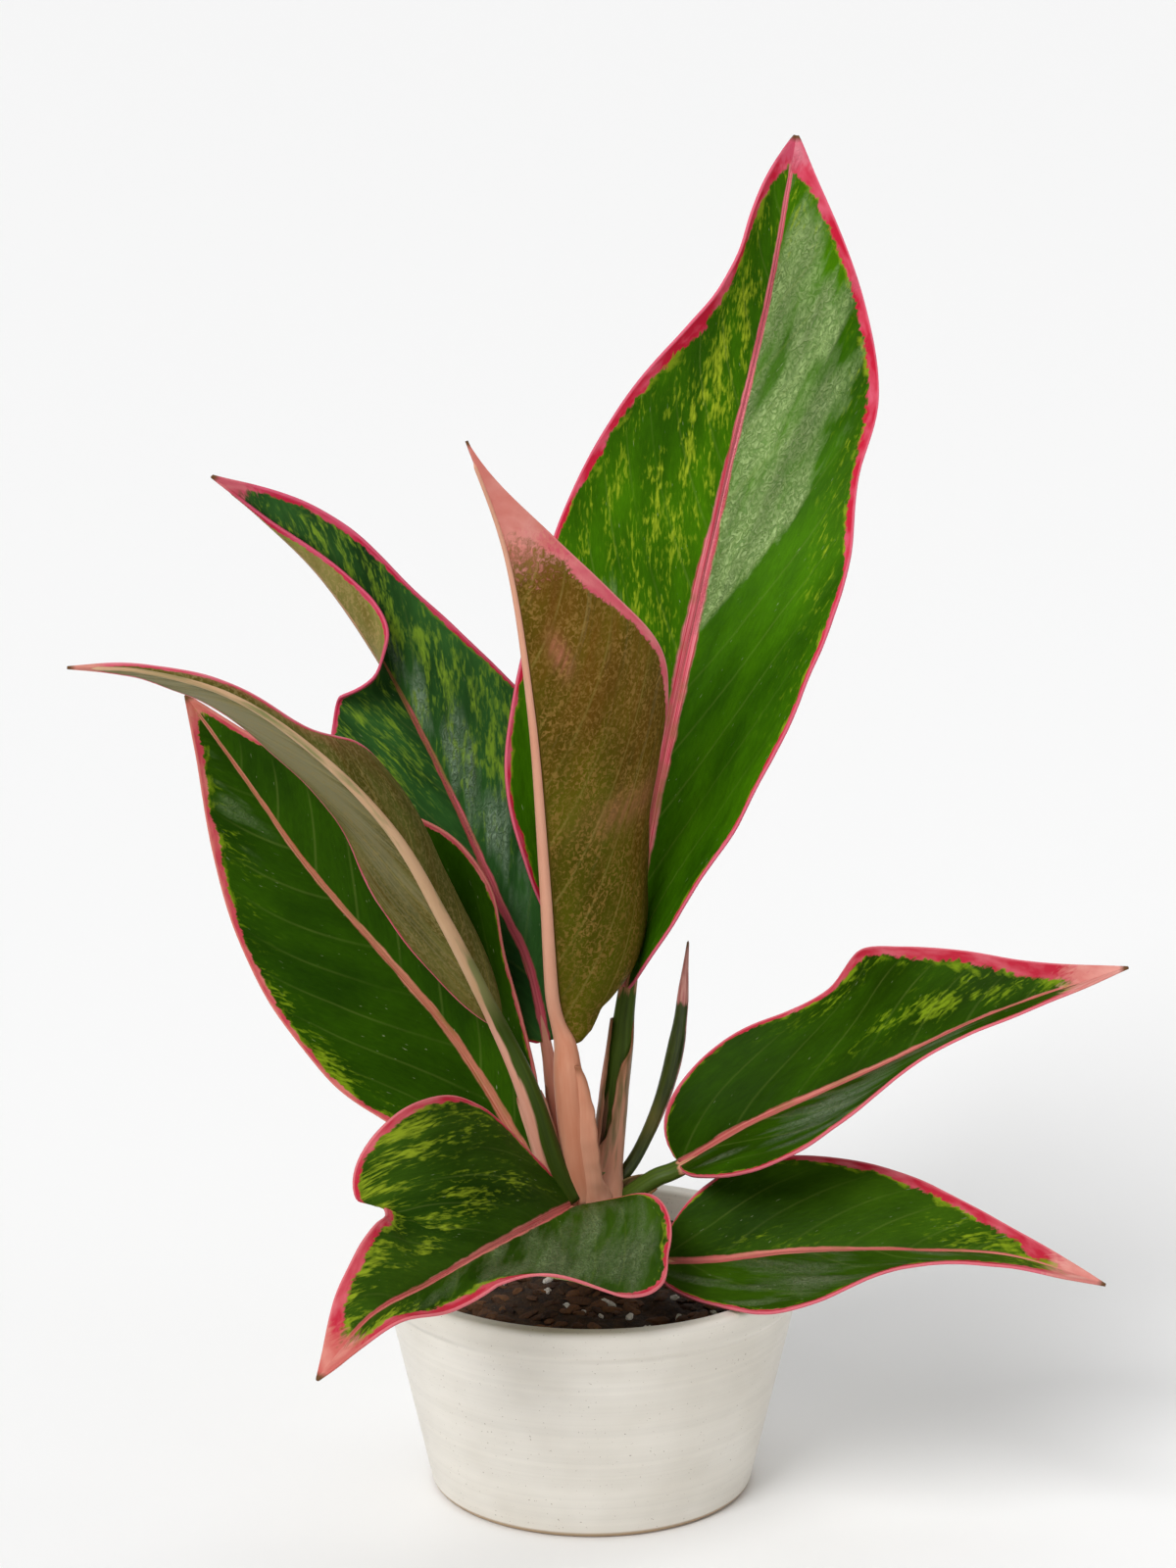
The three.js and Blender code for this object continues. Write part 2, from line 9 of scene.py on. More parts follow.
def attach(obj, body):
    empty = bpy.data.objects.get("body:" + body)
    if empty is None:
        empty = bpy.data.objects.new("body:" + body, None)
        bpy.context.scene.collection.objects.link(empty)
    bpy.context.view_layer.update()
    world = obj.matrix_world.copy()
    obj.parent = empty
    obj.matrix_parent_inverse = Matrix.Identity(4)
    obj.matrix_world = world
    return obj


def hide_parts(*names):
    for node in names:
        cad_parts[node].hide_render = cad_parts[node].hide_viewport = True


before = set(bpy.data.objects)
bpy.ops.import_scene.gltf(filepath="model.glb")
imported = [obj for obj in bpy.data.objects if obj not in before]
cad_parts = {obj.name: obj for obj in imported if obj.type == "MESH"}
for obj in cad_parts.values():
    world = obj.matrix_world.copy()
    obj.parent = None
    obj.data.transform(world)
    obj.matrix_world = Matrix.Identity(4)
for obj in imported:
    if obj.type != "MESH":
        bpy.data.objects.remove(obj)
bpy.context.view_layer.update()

MM = 0.001
FORWARD = np.array((0.0, -1.0, 0.0))
# The direction of a line is taken between two points this share of the line to either side, and its length
# is measured over this many points.
LINE_STEP = 0.002
LINE_POINTS = 201

# Leaf blades: thickness, the stretch of the blade that is built, and the mesh's steps along and across.
BLADE_THICKNESS = 0.7
BLADE_START = 0.003
BLADE_END = 0.997
ROWS_PER_MM = 0.85
BLADE_COLUMNS = 64
# How far the columns crowd towards the rib and the edge, where the form changes fastest.
CROWDING = 0.1
# The skin's relief in mm: the channel over the rib and the groove over a side vein, with their half widths,
# the rise between two veins, and the broad swell of each half.
CHANNEL_DEPTH = 0.38
CHANNEL_REACH = 1.2
GROOVE_DEPTH = 0.07
GROOVE_REACH = 0.7
QUILT_HEIGHT = 0.07
QUILT_REACH = 4.7
SWELL_HEIGHT = 0.5
WAVE_REACH = 5
# The channel loses this share of its depth on its way to the tip.
CHANNEL_LOSS = 0.7
# Sizes in mm along the rib and away from it: the broad swells, the edge's waves and the crinkles under the
# painted sheen.
SWELL_LENGTH = 30
SWELL_WIDTH = 18
WAVE_LENGTH = 13
RIPPLE_LENGTH = 32
RIPPLE_WIDTH = 5
# Veins and folds fade in between these distances in mm from the rib and from the edge, and swells from the
# rib. The edge's waves fade in between these shares of the blade's length from its foot and from its tip.
FOLDS_FROM_RIB = (1.5, 5)
FOLDS_FROM_EDGE = (1, 7)
SWELL_FROM_RIB = (2, 14)
WAVE_FROM_FOOT = (0.02, 0.12)
WAVE_FROM_TIP = (0.02, 0.1)
# The side veins leave the rib this far apart, and lean towards the tip more and more on their way out. Square
# to a vein, distances are smaller than along the rib by the last value.
VEIN_SPACING = 17.0
VEIN_LEAN = 1.3
VEIN_CURVE = 0.65
VEIN_CLOSENESS = 0.55
# The stalk and the ridge under the rib: rows of each, and columns round them.
STALK_ROWS = 24
RIB_ROWS = 90
STALK_SIDES = 28
RIB_END = 0.965
RIB_TIP_RADIUS = 0.4
RIB_TAPER = 1.2
# The stalk thickens by `foot` under the blade: from this share of its length up, and for this many mm of rib.
FOOT_START = 0.3
FOOT_LENGTH = 5.0

# Each leaf repeats the CAD's own values. `upper` is 1 where the upper face looks forward. `low` and `high`
# shape the outline, and `sheath`, `neck`, `swell` and `foot` the stalk. Each half has lists from the blade's
# foot to its tip: `width` in mm, the lean of the blade in degrees at the rib (`inner`) and at the edge
# (`outer`), its `sweep` towards the tip in degrees, and `margin`, the width of the pink edge in mm.
LEAVES = {
    "centre": dict(
        upper=-1, low=0.65, high=1.05, sheath=4.2, neck=2.1, swell=3, foot=1.2,
        stalk=[[-0.5, -4, 78], [-2.3, -5.6, 90], [-3.6, -6.8, 108]],
        rib=[
            [-5, -8, 122], [-8, -10.5, 134], [-10.6, -20, 172], [-14, -32, 216], [-20, -42, 257],
            [-30, -54, 289],
        ],
        left=dict(
            width=[20, 22, 26, 30, 26, 14],
            inner=[-120, -120, -120, -120, -110, -100],
            outer=[-130, -135, -135, -135, -120, -100],
            margin=[1.2, 1.2, 1.4, 1.8, 3.5, 5],
        ),
        right=dict(
            width=[50, 48, 41.5, 39, 41.5, 43.5, 43, 35.5, 26, 17, 10],
            inner=[10, 0, -5, -5, -10, -15],
            outer=[-75, -85, -75, -50, -25, -10],
            margin=[0.9, 0.9, 1.2, 2.4, 4.8, 6.5],
        ),
    ),
    "tall": dict(
        upper=1, low=0.6, high=0.8, sheath=3.8, neck=2.1, swell=2, foot=0.3,
        stalk=[[3.2, 2, 80], [4.6, 4, 95], [7.2, 6.5, 116]],
        rib=[[9, 8, 132], [16, 18, 177], [26, 32, 223], [36, 44, 265], [46, 54, 307], [53, 58, 348]],
        left=dict(
            width=[54, 56, 54, 47.5, 42.8, 40.4, 38, 34.4, 30, 34, 24],
            inner=[40, 35, 25, 15, 5, 10, 15, 20, 20],
            outer=[30, 35, 25, 15, 5, 15, 50, 80, 20],
            sweep=[0, 0, 0, 5, 5, 5, 5, 5, 5],
            margin=[1.3, 1.4, 1.4, 1.5, 1.7, 2.2, 4.2, 2.6, 5.0],
        ),
        right=dict(
            width=[36, 37, 38, 39, 40, 39.5, 37.6, 43, 41.5, 35.5, 24],
            inner=[70, 45, 30, 15, 10, 10],
            outer=[90, 60, 45, 15, 5, 5],
            sweep=[0, 0, 5, 10, 10, 10],
            margin=[1.2, 1.0, 0.9, 1.0, 1.8, 2.4, 2.2, 5.0],
        ),
    ),
    "curled": dict(
        upper=1, low=0.6, high=1, sheath=3.2, neck=1.3, swell=1, foot=0.2,
        stalk=[[-4, 1, 80], [-7.6, 2, 92], [-10, 4, 107]],
        rib=[
            [-11.8, 6, 118], [-16.6, 11.5, 138], [-23.5, 16, 152], [-36, 26, 178], [-52.5, 32, 210],
            [-69, 34, 235], [-85, 32, 252], [-98, 28, 264],
        ],
        left=dict(
            width=[30, 31, 32, 33, 34, 35, 36, 35, 32, 28.5, 24.5, 19.5, 13, 16, 16, 14, 11, 8, 5, 5, 6],
            inner=[
                25, 25, 25, 25, 25, 26, 27, 28, 29, 30, 30, 35, 80, 105, 115, 118, 120, 116, 110, 105, 100,
            ],
            outer=[10, 10, 10, 10, 10, 10, 10, 8, 5, 2, 0, 10, 90, 140, 160, 163, 165, 160, 150, 130, 110],
            sweep=[0, 0, 0, 0, 5, 10, 15, 22, 28, 30, 30, 32, 10, 0, 0, 0, 0, 0, 0, 0, 0],
            margin=[1, 1, 1, 1.1, 1.2, 1.2, 1.2, 1.2, 2],
        ),
        right=dict(
            width=[33, 33, 33, 33, 32, 28.5, 26, 25.5, 31, 36, 34],
            inner=[-10, -10, -5, 10, 20, 20],
            outer=[-10, -10, -5, 10, 20, 20],
            sweep=[0, 0, 5, 5, 5, 5],
            margin=[0.9, 0.9, 1.0, 1.1, 1.3, 1.8, 3],
        ),
    ),
    "arching": dict(
        upper=-1, low=0.65, high=1.1, sheath=4.5, neck=2.2, swell=1, foot=0.2,
        stalk=[[-6, -4.5, 79], [-10.6, -7, 90], [-16.6, -10, 111]],
        rib=[
            [-23.5, -12, 128], [-37, -26, 161], [-49, -38, 187], [-66, -48, 209], [-86, -56, 226],
            [-107, -62, 234], [-126, -66, 236],
        ],
        left=dict(
            width=[30, 29, 28, 30, 28, 26],
            inner=[-40, -45, -50, -55, -55, -60],
            outer=[-50, -55, -65, -65, -65, -65],
            margin=[0.8, 0.8, 0.8, 0.7, 0.8, 1.5],
        ),
        right=dict(
            width=[31, 28, 25, 25, 18, 6.2, 5.5, 6.5, 10],
            inner=[-45, -52, -54, -54, -58, -60, -50, -45, -40],
            outer=[-110, -125, -130, -115, -90, -70, -55, -50, -45],
            sweep=[0, 0, 0, 5, 10, 5, 0, 0, 0],
            margin=[0.8, 0.8, 0.8, 0.9, 0.9, 0.8, 0.8, 0.8, 1.5],
        ),
    ),
    "broad": dict(
        upper=1, low=0.55, high=0.9, sheath=2.8, neck=2, swell=1, foot=0.2,
        stalk=[[-4, 0, 72], [-9, -1, 79]],
        rib=[
            [-16, -2, 89], [-34, 3, 118], [-52.8, 5, 141.4], [-72.4, 5, 165.2], [-89.2, 3, 191],
            [-103, -4, 214],
        ],
        left=dict(
            width=[28, 30, 31.5, 32.6, 32, 31.8, 30, 27.6, 25.5, 22, 19],
            inner=[10, 10, 10, 10, 15, 20],
            outer=[10, 10, 10, 10, 15, 20],
            margin=[1.2, 1.3, 1.4, 1.5, 1.7, 1.9, 2.4],
        ),
        right=dict(
            width=[17, 18.5, 21, 26, 34, 37.5, 36, 32.5, 28, 24, 22],
            inner=[15, 15, 10, 10, 15, 20],
            outer=[15, 15, 10, 10, 15, 20],
            margin=[0.8, 0.8, 0.9, 1.0, 1.0, 2.0],
        ),
    ),
    "front": dict(
        upper=1, low=0.4, high=0.9, sheath=2.8, neck=2, swell=1, foot=0.2,
        stalk=[[-0.5, -3, 72]],
        rib=[[-4, -8, 78], [-13, -30, 82], [-26, -55, 84], [-39, -78, 84], [-53, -98, 83], [-66, -112, 72]],
        left=dict(
            width=[36, 36.8, 38, 42, 40, 33, 26, 24, 28.5, 33, 32],
            inner=[138, 97, 83, 95, 85, 75],
            outer=[148, 103, 88, 100, 85, 75],
            margin=[1.4, 1.5, 1.6, 3.0, 3.6, 4.0],
        ),
        right=dict(
            width=[
                10, 13, 19, 28, 35, 40, 43.2, 45.6, 45.3, 42, 36, 29, 26, 27, 29, 29, 26, 24, 22, 20, 18,
            ],
            inner=[-60, -45, -35, -30, -30, -30, -30, -30, -35],
            outer=[-60, -50, -40, -40, -80, -50, -30, -30, -40],
            sweep=[-20, -12, -3, 4, 10, 15, 21, 27, 30, 29, 25, 8, 6, 5, 5, 5, 5, 5, 4, 2, 0],
            margin=[1.4, 1.6, 1.8, 1.9, 1.8, 1.8, 2.2, 3.2, 4.0],
        ),
    ),
    "upper": dict(
        upper=1, low=0.6, high=0.95, sheath=3, neck=2.1, swell=1, foot=0.2,
        stalk=[[4, -0.5, 75], [9.5, -2, 79.5], [16, -3, 84.5]],
        rib=[[23, -4, 88], [40, -8, 100], [58, -12, 110], [76, -16, 120], [102, -22, 135], [135, -30, 150]],
        left=dict(
            width=[34, 29.5, 28.5, 26.5, 27, 32.5, 29.5, 25.2, 19.8, 16.6, 15],
            inner=[-10, -40, -45, -30, -35, -40],
            outer=[-5, -40, -50, -30, -35, -40],
            sweep=[-15, -5, 0, 0, 0, 0, 0, 0, 0, 0, 0],
            margin=[0.9, 1.0, 1.6, 3.0, 3.8, 4.5],
        ),
        right=dict(
            width=[29, 32, 30, 27.5, 29, 30],
            inner=[90, 85, 90, 98, 98, 95],
            outer=[90, 85, 92, 104, 104, 100],
            margin=[1.1, 1.2, 1.4, 1.8, 2.4, 4.0],
        ),
    ),
    "lower": dict(
        upper=1, low=0.6, high=0.95, sheath=2.6, neck=1.9, swell=1, foot=0.2,
        stalk=[[4, -3, 66], [10, -10, 65.5]],
        rib=[
            [17, -16, 66], [31, -22, 68.4], [49, -29, 73.2], [66, -35, 76.2], [83, -41, 78.2],
            [105, -48, 79.4], [129, -54, 74],
        ],
        left=dict(
            width=[34, 31, 29.3, 27, 25.4, 24.1, 22.2, 18.2, 13.6, 12.4, 12],
            inner=[-35, -40, -45, -50, -50, -50],
            outer=[-35, -40, -45, -55, -55, -55],
            margin=[0.9, 1.0, 1.4, 2.6, 3.4, 4.0],
        ),
        right=dict(
            width=[22, 21, 22, 26.3, 28.4, 26.5, 19, 16.5, 22, 25, 26],
            inner=[70, 70, 80, 92, 92, 90],
            outer=[70, 75, 85, 100, 102, 100],
            margin=[0.9, 1.0, 1.2, 1.8, 2.4, 4.0],
        ),
    ),
}

# How each leaf looks, where it differs from the usual. Colours are sRGB. `stripe` is the half width of the
# pink rib in mm from foot to tip, and `rib`, `edge` and `skin_tip` the two colours of rib, margin and tip,
# whose last `pink_tip` mm are all pink. `flecks`, `painted_sheen`, `blush` and `brown` are soft spots: (t,
# across, reach in t, reach across, strength). `painted_sheen` says where a sheen is painted into the colour
# as a painted highlight: `painted_sheen_colour` on the upper face, and a greyish one on the underside. On
# the underside `brown` is a brown patch, and on the upper face it darkens the green as painted shade.
# `painted_sheen_from` is the foot in mm of the side vein that bounds the painted sheen. `fold` is the size
# of the blade's small folds in mm, along the rib and away from it, and `wrinkle`, `wave` and `ripple` are
# the heights of folds, edge waves and the crinkles under the painted sheen. The grain of the colours leans
# by `drift` degrees from the rib. `stalk` has the stalk's pink, pale pink, green and rib colour,
# `stalk_green` and `rib_green` say how green stalk and rib are from foot to tip, and `green_side` is a
# greener side: its angle in degrees and how green. `edge_lime` is how much lime lies beside the margin.
USUAL_LOOK = dict(
    lime="#86a01c", under="#6a8048", under_light="#84935a", grain="#8f8a4e", rib=("#b84e50", "#d78478"),
    edge=("#b8283c", "#d8707c"), skin_tip=("#d08078", "#e4aca0"),
    stalk=("#cc8263", "#d89b7e", "#3e5016", "#dfae96"), green_side=(0, 0), flecks=[], painted_sheen=[], blush=[],
    brown=[], painted_sheen_from=-9, edge_lime=0.0, ripple=0.0, drift=20, wrinkle=0.12, fold=(3.2, 15), wave=0.5,
)
LOOKS = {
    "centre": dict(
        deep="#2b4f04", light="#3d6a08", painted_sheen_colour="#6e7d58", lime="#8fa51c", under="#4c440a",
        under_light="#625a12", grain="#917038", stripe=[1.4, 1.2, 0.9, 0.6], rib=("#b8604e", "#cf8a74"),
        edge=("#cf5a68", "#e08a88"), skin_tip=("#d27c70", "#e29c90"), pink_tip=38,
        flecks=[(0.22, 0.3, 0.2, 0.4, 0.6)],
        blush=[(0.64, 0.24, 0.03, 0.07, 0.8), (0.36, 0.6, 0.03, 0.3, 0.4), (0.9, 0.3, 0.08, 0.5, 0.4)],
        brown=[(0.68, 0.5, 0.2, 0.5, 0.9), (0.35, 0.75, 0.16, 0.25, 0.6)], stalk_green=[0, 0, 0, 0],
        rib_green=[0, 0, 0.1, 0],
    ),
    "tall": dict(
        deep="#2b5403", light="#427404", painted_sheen_colour="#93ad69", lime="#a4b428", under="#5e7a3a",
        under_light="#7a8c4a", stripe=[2.2, 2.4, 2.35, 1.3, 0.9, 0.7], rib=("#c22f48", "#ea8a92"),
        edge=("#c3203a", "#e06a80"), skin_tip=("#cc5068", "#e0909a"), pink_tip=9,
        flecks=[
            (0.62, -0.33, 0.16, 0.22, 1.0), (0.8, -0.35, 0.12, 0.35, 0.55), (0.5, -0.78, 0.16, 0.14, 0.6),
            (0.4, -0.3, 0.1, 0.22, 0.35), (0.55, 0.85, 0.2, 0.12, 0.3), (0.9, 0.0, 0.05, 0.6, 0.5),
        ],
        painted_sheen=[(0.6, 0.2, 0.22, 0.5, 1.2), (0.8, 0.4, 0.14, 0.5, 0.9), (0.39, -0.64, 0.05, 0.2, 0.7)],
        brown=[(0.27, 0.35, 0.14, 0.5, 0.5), (0.6, 0.88, 0.16, 0.12, 0.5)], drift=12, painted_sheen_from=92,
        edge_lime=0.5, ripple=0.9, wrinkle=0.38, fold=(3.6, 8), wave=0.7, stalk_green=[0.1, 0.6, 1, 1],
        rib_green=[0.6, 0.3, 0.1, 0],
    ),
    "curled": dict(
        deep="#1f3f1a", light="#35602a", painted_sheen_colour="#7d9478", lime="#7f9e2c", under="#6f6a2c",
        under_light="#8d8348", grain="#a08a55", stripe=[1.3, 1.2, 1.0, 0.8, 0.5, 0.4],
        rib=("#b3304a", "#cf6a70"), edge=("#bd2440", "#d9607a"), skin_tip=("#c65264", "#dc8c8a"),
        pink_tip=11,
        flecks=[
            (0.6, 0.4, 0.2, 0.5, 0.9), (0.8, 0.4, 0.16, 0.6, 0.5), (0.42, 0.6, 0.14, 0.3, 1.0),
            (0.35, -0.6, 0.2, 0.3, 0.7), (0.5, -0.5, 0.1, 0.5, 0.8),
        ],
        painted_sheen=[(0.4, 0.2, 0.16, 0.2, 0.6), (0.62, 0.15, 0.15, 0.12, 0.4)],
        brown=[(0.8, 0.6, 0.12, 0.6, 0.6)], drift=25, edge_lime=0.4,
        stalk=("#c07862", "#d4957f", "#5a6020", "#dfae96"), wrinkle=0.15, fold=(3.2, 12), wave=0.6,
        stalk_green=[0, 0, 0.1, 0.2], rib_green=[0.0, 0.2, 0.5, 0.8, 0.9],
    ),
    "arching": dict(
        deep="#22480f", light="#35661a", painted_sheen_colour="#8ea473", lime="#8fa51c", under="#4c4818",
        under_light="#64602c", grain="#857748", stripe=[1.2, 1.0, 0.8, 0.6], rib=("#b8604e", "#cf8a74"),
        edge=("#c03a50", "#d9808a"), skin_tip=("#c4766a", "#d89c8a"), pink_tip=9,
        flecks=[(0.5, 0.5, 0.4, 0.5, 0.6)],
        painted_sheen=[(0.5, -0.5, 0.32, 0.5, 0.85), (0.75, -0.5, 0.2, 0.5, 0.6)],
        blush=[(0.78, 0.85, 0.2, 0.3, 0.6)], brown=[(0.55, 0.5, 0.2, 0.5, 0.3)], drift=15,
        stalk=("#c98a72", "#d6a08a", "#344410", "#b3ac74"), wave=0.4, stalk_green=[0.1, 0.1, 0.0, 0.0],
        rib_green=[0.0, 0.15, 0.3, 0.4, 0.4], green_side=(62, 1.7),
    ),
    "broad": dict(
        deep="#1f3d02", light="#2d5003", painted_sheen_colour="#6a8050", stripe=[1.6, 1.3, 1.0, 0.7, 0.5],
        rib=("#ac5c44", "#cc8a70"), edge=("#c04450", "#dc8478"), skin_tip=("#c06858", "#dc9484"),
        pink_tip=7, flecks=[(0.3, -0.93, 0.25, 0.1, 0.9), (0.75, -0.8, 0.15, 0.3, 0.35)],
        painted_sheen=[(0.8, -0.4, 0.1, 0.3, 0.3)], brown=[(0.2, -0.4, 0.2, 0.6, 0.5)], drift=25, edge_lime=0.6,
        wrinkle=0.1, stalk_green=[0, 0, 0], rib_green=[0.1, 0.2, 0.2],
    ),
    "front": dict(
        deep="#213c06", light="#36540e", painted_sheen_colour="#63754a", lime="#93a626",
        stripe=[1.7, 1.6, 1.3, 1.0, 0.7], edge=("#bd2c40", "#dc7a80"), skin_tip=("#c86a62", "#dfa090"),
        pink_tip=14,
        flecks=[
            (0.42, 0.82, 0.2, 0.16, 1.3), (0.75, 0.72, 0.14, 0.22, 1.1), (0.9, 0.3, 0.07, 0.6, 1.3),
            (0.42, 0.36, 0.24, 0.12, 1.1), (0.86, -0.5, 0.1, 0.5, 1.2),
        ],
        painted_sheen=[(0.35, -0.5, 0.3, 0.5, 0.95)],
        brown=[(0.2, 0.4, 0.16, 0.5, 0.5), (0.5, -0.2, 0.12, 0.3, 0.35)], edge_lime=0.7, wrinkle=0.14,
        fold=(3.2, 13), stalk_green=[0, 0], rib_green=[0.1, 0.2, 0.2],
    ),
    "upper": dict(
        deep="#213b01", light="#2f5203", painted_sheen_colour="#647556", stripe=[1.6, 1.4, 1.1, 0.7, 0.5],
        pink_tip=17,
        flecks=[(0.78, -0.4, 0.12, 0.3, 1.0), (0.6, -0.3, 0.16, 0.12, 0.8), (0.45, -0.85, 0.14, 0.1, 0.4)],
        painted_sheen=[(0.4, 0.45, 0.3, 0.45, 0.7)], brown=[(0.15, -0.4, 0.16, 0.7, 0.6)], drift=14, edge_lime=0.7,
        fold=(3.2, 13), wave=0.4, stalk_green=[1, 1, 1], rib_green=[0.2, 0.2, 0.1],
    ),
    "lower": dict(
        deep="#264205", light="#38590a", painted_sheen_colour="#6a7854", lime="#8aa01e",
        stripe=[1.3, 1.1, 0.8, 0.6, 0.5], pink_tip=15,
        flecks=[(0.74, -0.35, 0.12, 0.3, 1.0), (0.88, 0.0, 0.08, 0.9, 1.3), (0.3, -0.2, 0.14, 0.14, 0.3)],
        painted_sheen=[(0.4, 0.5, 0.3, 0.5, 0.6)], brown=[(0.15, -0.4, 0.16, 0.7, 0.5)], drift=14, edge_lime=0.7,
        fold=(3.2, 13), wave=0.4, stalk_green=[0.2, 0.3], rib_green=[0.2, 0.2, 0.1],
    ),
}


# Lines and directions, as in the CAD.


def unit(vectors):
    """The same directions, one unit long."""
    return vectors / np.linalg.norm(vectors, axis=-1, keepdims=True)


def along(values, t):
    """The value at t (0 to 1) of a smooth line through evenly spaced values or points."""
    values = np.asarray(values, float)
    last = len(values) - 1
    place = np.clip(np.asarray(t, float), 0, 1) * last
    i = np.minimum(np.floor(place).astype(int), last - 1)
    f = place - i
    if values.ndim > 1:
        f = f[..., None]
    longer = np.concatenate(([2 * values[0] - values[1]], values, [2 * values[-1] - values[-2]]))
    before, start, end, after = (longer[i + k] for k in range(4))
    rise = (3 * f**2 - 2 * f**3) * (end - start)
    return start + (f**3 - 2 * f**2 + f) * (end - before) / 2 + rise + (f**3 - f**2) * (after - start) / 2


def measured_line(points, first=0):
    """A smooth line through the points from number `first` on, measured by its length, and that length."""
    points = np.asarray(points, float)
    places = np.linspace(first / (len(points) - 1), 1, LINE_POINTS)
    steps = np.linalg.norm(np.diff(along(points, places), axis=0), axis=1)
    lengths = np.concatenate(([0], np.cumsum(steps)))

    def line(t):
        return along(points, np.interp(np.clip(t, 0, 1) * lengths[-1], lengths, places))

    return line, lengths[-1]


def heading(line, t):
    """The direction of a line at t."""
    return unit(line(np.minimum(t + LINE_STEP, 1)) - line(np.maximum(t - LINE_STEP, 0)))


def directions(line, t):
    """The directions at t on a line: along it, forward across it and sideways across it."""
    ahead = heading(line, t)
    front = unit(FORWARD - (ahead @ FORWARD)[..., None] * ahead)
    return ahead, front, np.cross(ahead, front)


def around(up, beside, angle, radius):
    """Steps from a line to the points round it: `radius` long, and turned from `up` towards `beside`."""
    return up * (np.cos(angle) * radius)[:, None] + beside * (np.sin(angle) * radius)[:, None]


def smooth(value, low, high):
    """0 below `low`, 1 above `high`, and a smooth step between."""
    share = np.clip((value - low) / (high - low), 0, 1)
    return share * share * (3 - 2 * share)


def bell(value, reach):
    """1 where the value is 0, falling smoothly on both sides."""
    return np.exp(-((value / reach) ** 2))


def lumps(*coordinates):
    """Smooth noise from -1 to 1 at the given coordinates, one unit a lump."""
    columns = [np.broadcast_to(np.asarray(c, float), np.shape(coordinates[0])) for c in coordinates]
    return np.array([noise.noise(Vector(p)) for p in zip(*columns)])


# Mesh helpers.


def pick(*pieces):
    """Selects these pieces and nothing else, in object mode."""
    if bpy.context.object and bpy.context.object.mode != "OBJECT":
        bpy.ops.object.mode_set(mode="OBJECT")
    bpy.ops.object.select_all(action="DESELECT")
    for piece in pieces:
        piece.select_set(True)
    if pieces:
        bpy.context.view_layer.objects.active = pieces[0]


def edit(piece, select="SELECT"):
    """Opens one piece in edit mode with everything or nothing selected."""
    pick(piece)
    bpy.ops.object.mode_set(mode="EDIT")
    bpy.ops.mesh.select_all(action=select)


def read(items, key):
    """The vectors that a mesh keeps for its points, one row each."""
    values = np.empty(len(items) * 3)
    items.foreach_get(key, values)
    return values.reshape(-1, 3)


def grid(name, rows, columns):
    """A flat grid, its row places from 0 to 1 and its column places from -1 to 1."""
    pick()
    bpy.ops.mesh.primitive_grid_add(x_subdivisions=rows, y_subdivisions=columns, size=2.0)
    piece = bpy.context.object
    piece.name = name
    co = read(piece.data.vertices, "co")
    return piece, (co[:, 0] + 1) / 2, co[:, 1]


def place_points(piece, points):
    """Moves the mesh's points to these places, in mm."""
    piece.data.vertices.foreach_set("co", (points * MM).ravel())
    piece.data.update()


def keep_values(piece, name, *values):
    """Keeps three values a point in the mesh, for the materials to read."""
    layer = piece.data.attributes.new(name, "FLOAT_VECTOR", "POINT")
    count = len(piece.data.vertices)
    columns = [np.broadcast_to(np.asarray(v, float), count) for v in values]
    layer.data.foreach_set("vector", np.stack(columns, axis=1).ravel())


def apply_modifier(piece, kind, **settings):
    """Shapes the piece by a modifier with these settings, for good."""
    pick(piece)
    modifier = piece.modifiers.new(kind.lower(), kind)
    for name, value in settings.items():
        setattr(modifier, name, value)
    bpy.ops.object.modifier_apply(modifier=modifier.name)


def thicken(piece, thickness, offset):
    """Gives a sheet a wall, whose far side takes the piece's second material."""
    wall = {"thickness": thickness * MM, "offset": offset, "material_offset": 1, "material_offset_rim": 0}
    apply_modifier(piece, "SOLIDIFY", **wall)


def turn_over(piece):
    """Turns a sheet's faces the other way."""
    edit(piece)
    bpy.ops.mesh.flip_normals()
    bpy.ops.object.mode_set(mode="OBJECT")


def close_up(piece):
    """Merges the points that lie on each other and turns every face outwards."""
    edit(piece)
    bpy.ops.mesh.remove_doubles(threshold=1e-6)
    bpy.ops.mesh.normals_make_consistent(inside=False)
    bpy.ops.object.mode_set(mode="OBJECT")


def shade_smooth(piece):
    pick(piece)
    bpy.ops.object.shade_smooth()


def join(pieces, name):
    """Makes several pieces one, under this name."""
    pick(*pieces)
    bpy.ops.object.join()
    whole = bpy.context.object
    whole.name = name
    whole.data.name = name
    return whole


def give(piece, *materials):
    """Gives the piece these materials in place of any others."""
    piece.data.materials.clear()
    for material in materials:
        piece.data.materials.append(material)


def part_of_plant(piece, slot, *nodes):
    """The finished piece rides on the one body and stands for CAD nodes, which it hides. `slot` is not used.
    """
    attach(piece, "root")
    if nodes:
        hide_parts(*nodes)


# Material helpers.


def colour(hex_code):
    """An sRGB colour as the linear one that Blender uses."""
    channels = []
    for start in (1, 3, 5):
        value = int(hex_code[start : start + 2], 16) / 255
        channels.append(value / 12.92 if value <= 0.04045 else ((value + 0.055) / 1.055) ** 2.4)
    return (*channels, 1.0)


def add(tree, kind, inputs=(), out=0, **settings):
    """Adds a node with its settings. An input that is a socket is linked, and any other is a value, or an
    sRGB code."""
    node = tree.nodes.new("ShaderNode" + kind)
    for name, value in settings.items():
        setattr(node, name, value)
    for key, value in inputs.items() if isinstance(inputs, dict) else enumerate(inputs):
        if isinstance(value, bpy.types.NodeSocket):
            tree.links.new(value, node.inputs[key])
        else:
            node.inputs[key].default_value = colour(value) if isinstance(value, str) else value
    return node.outputs[out]


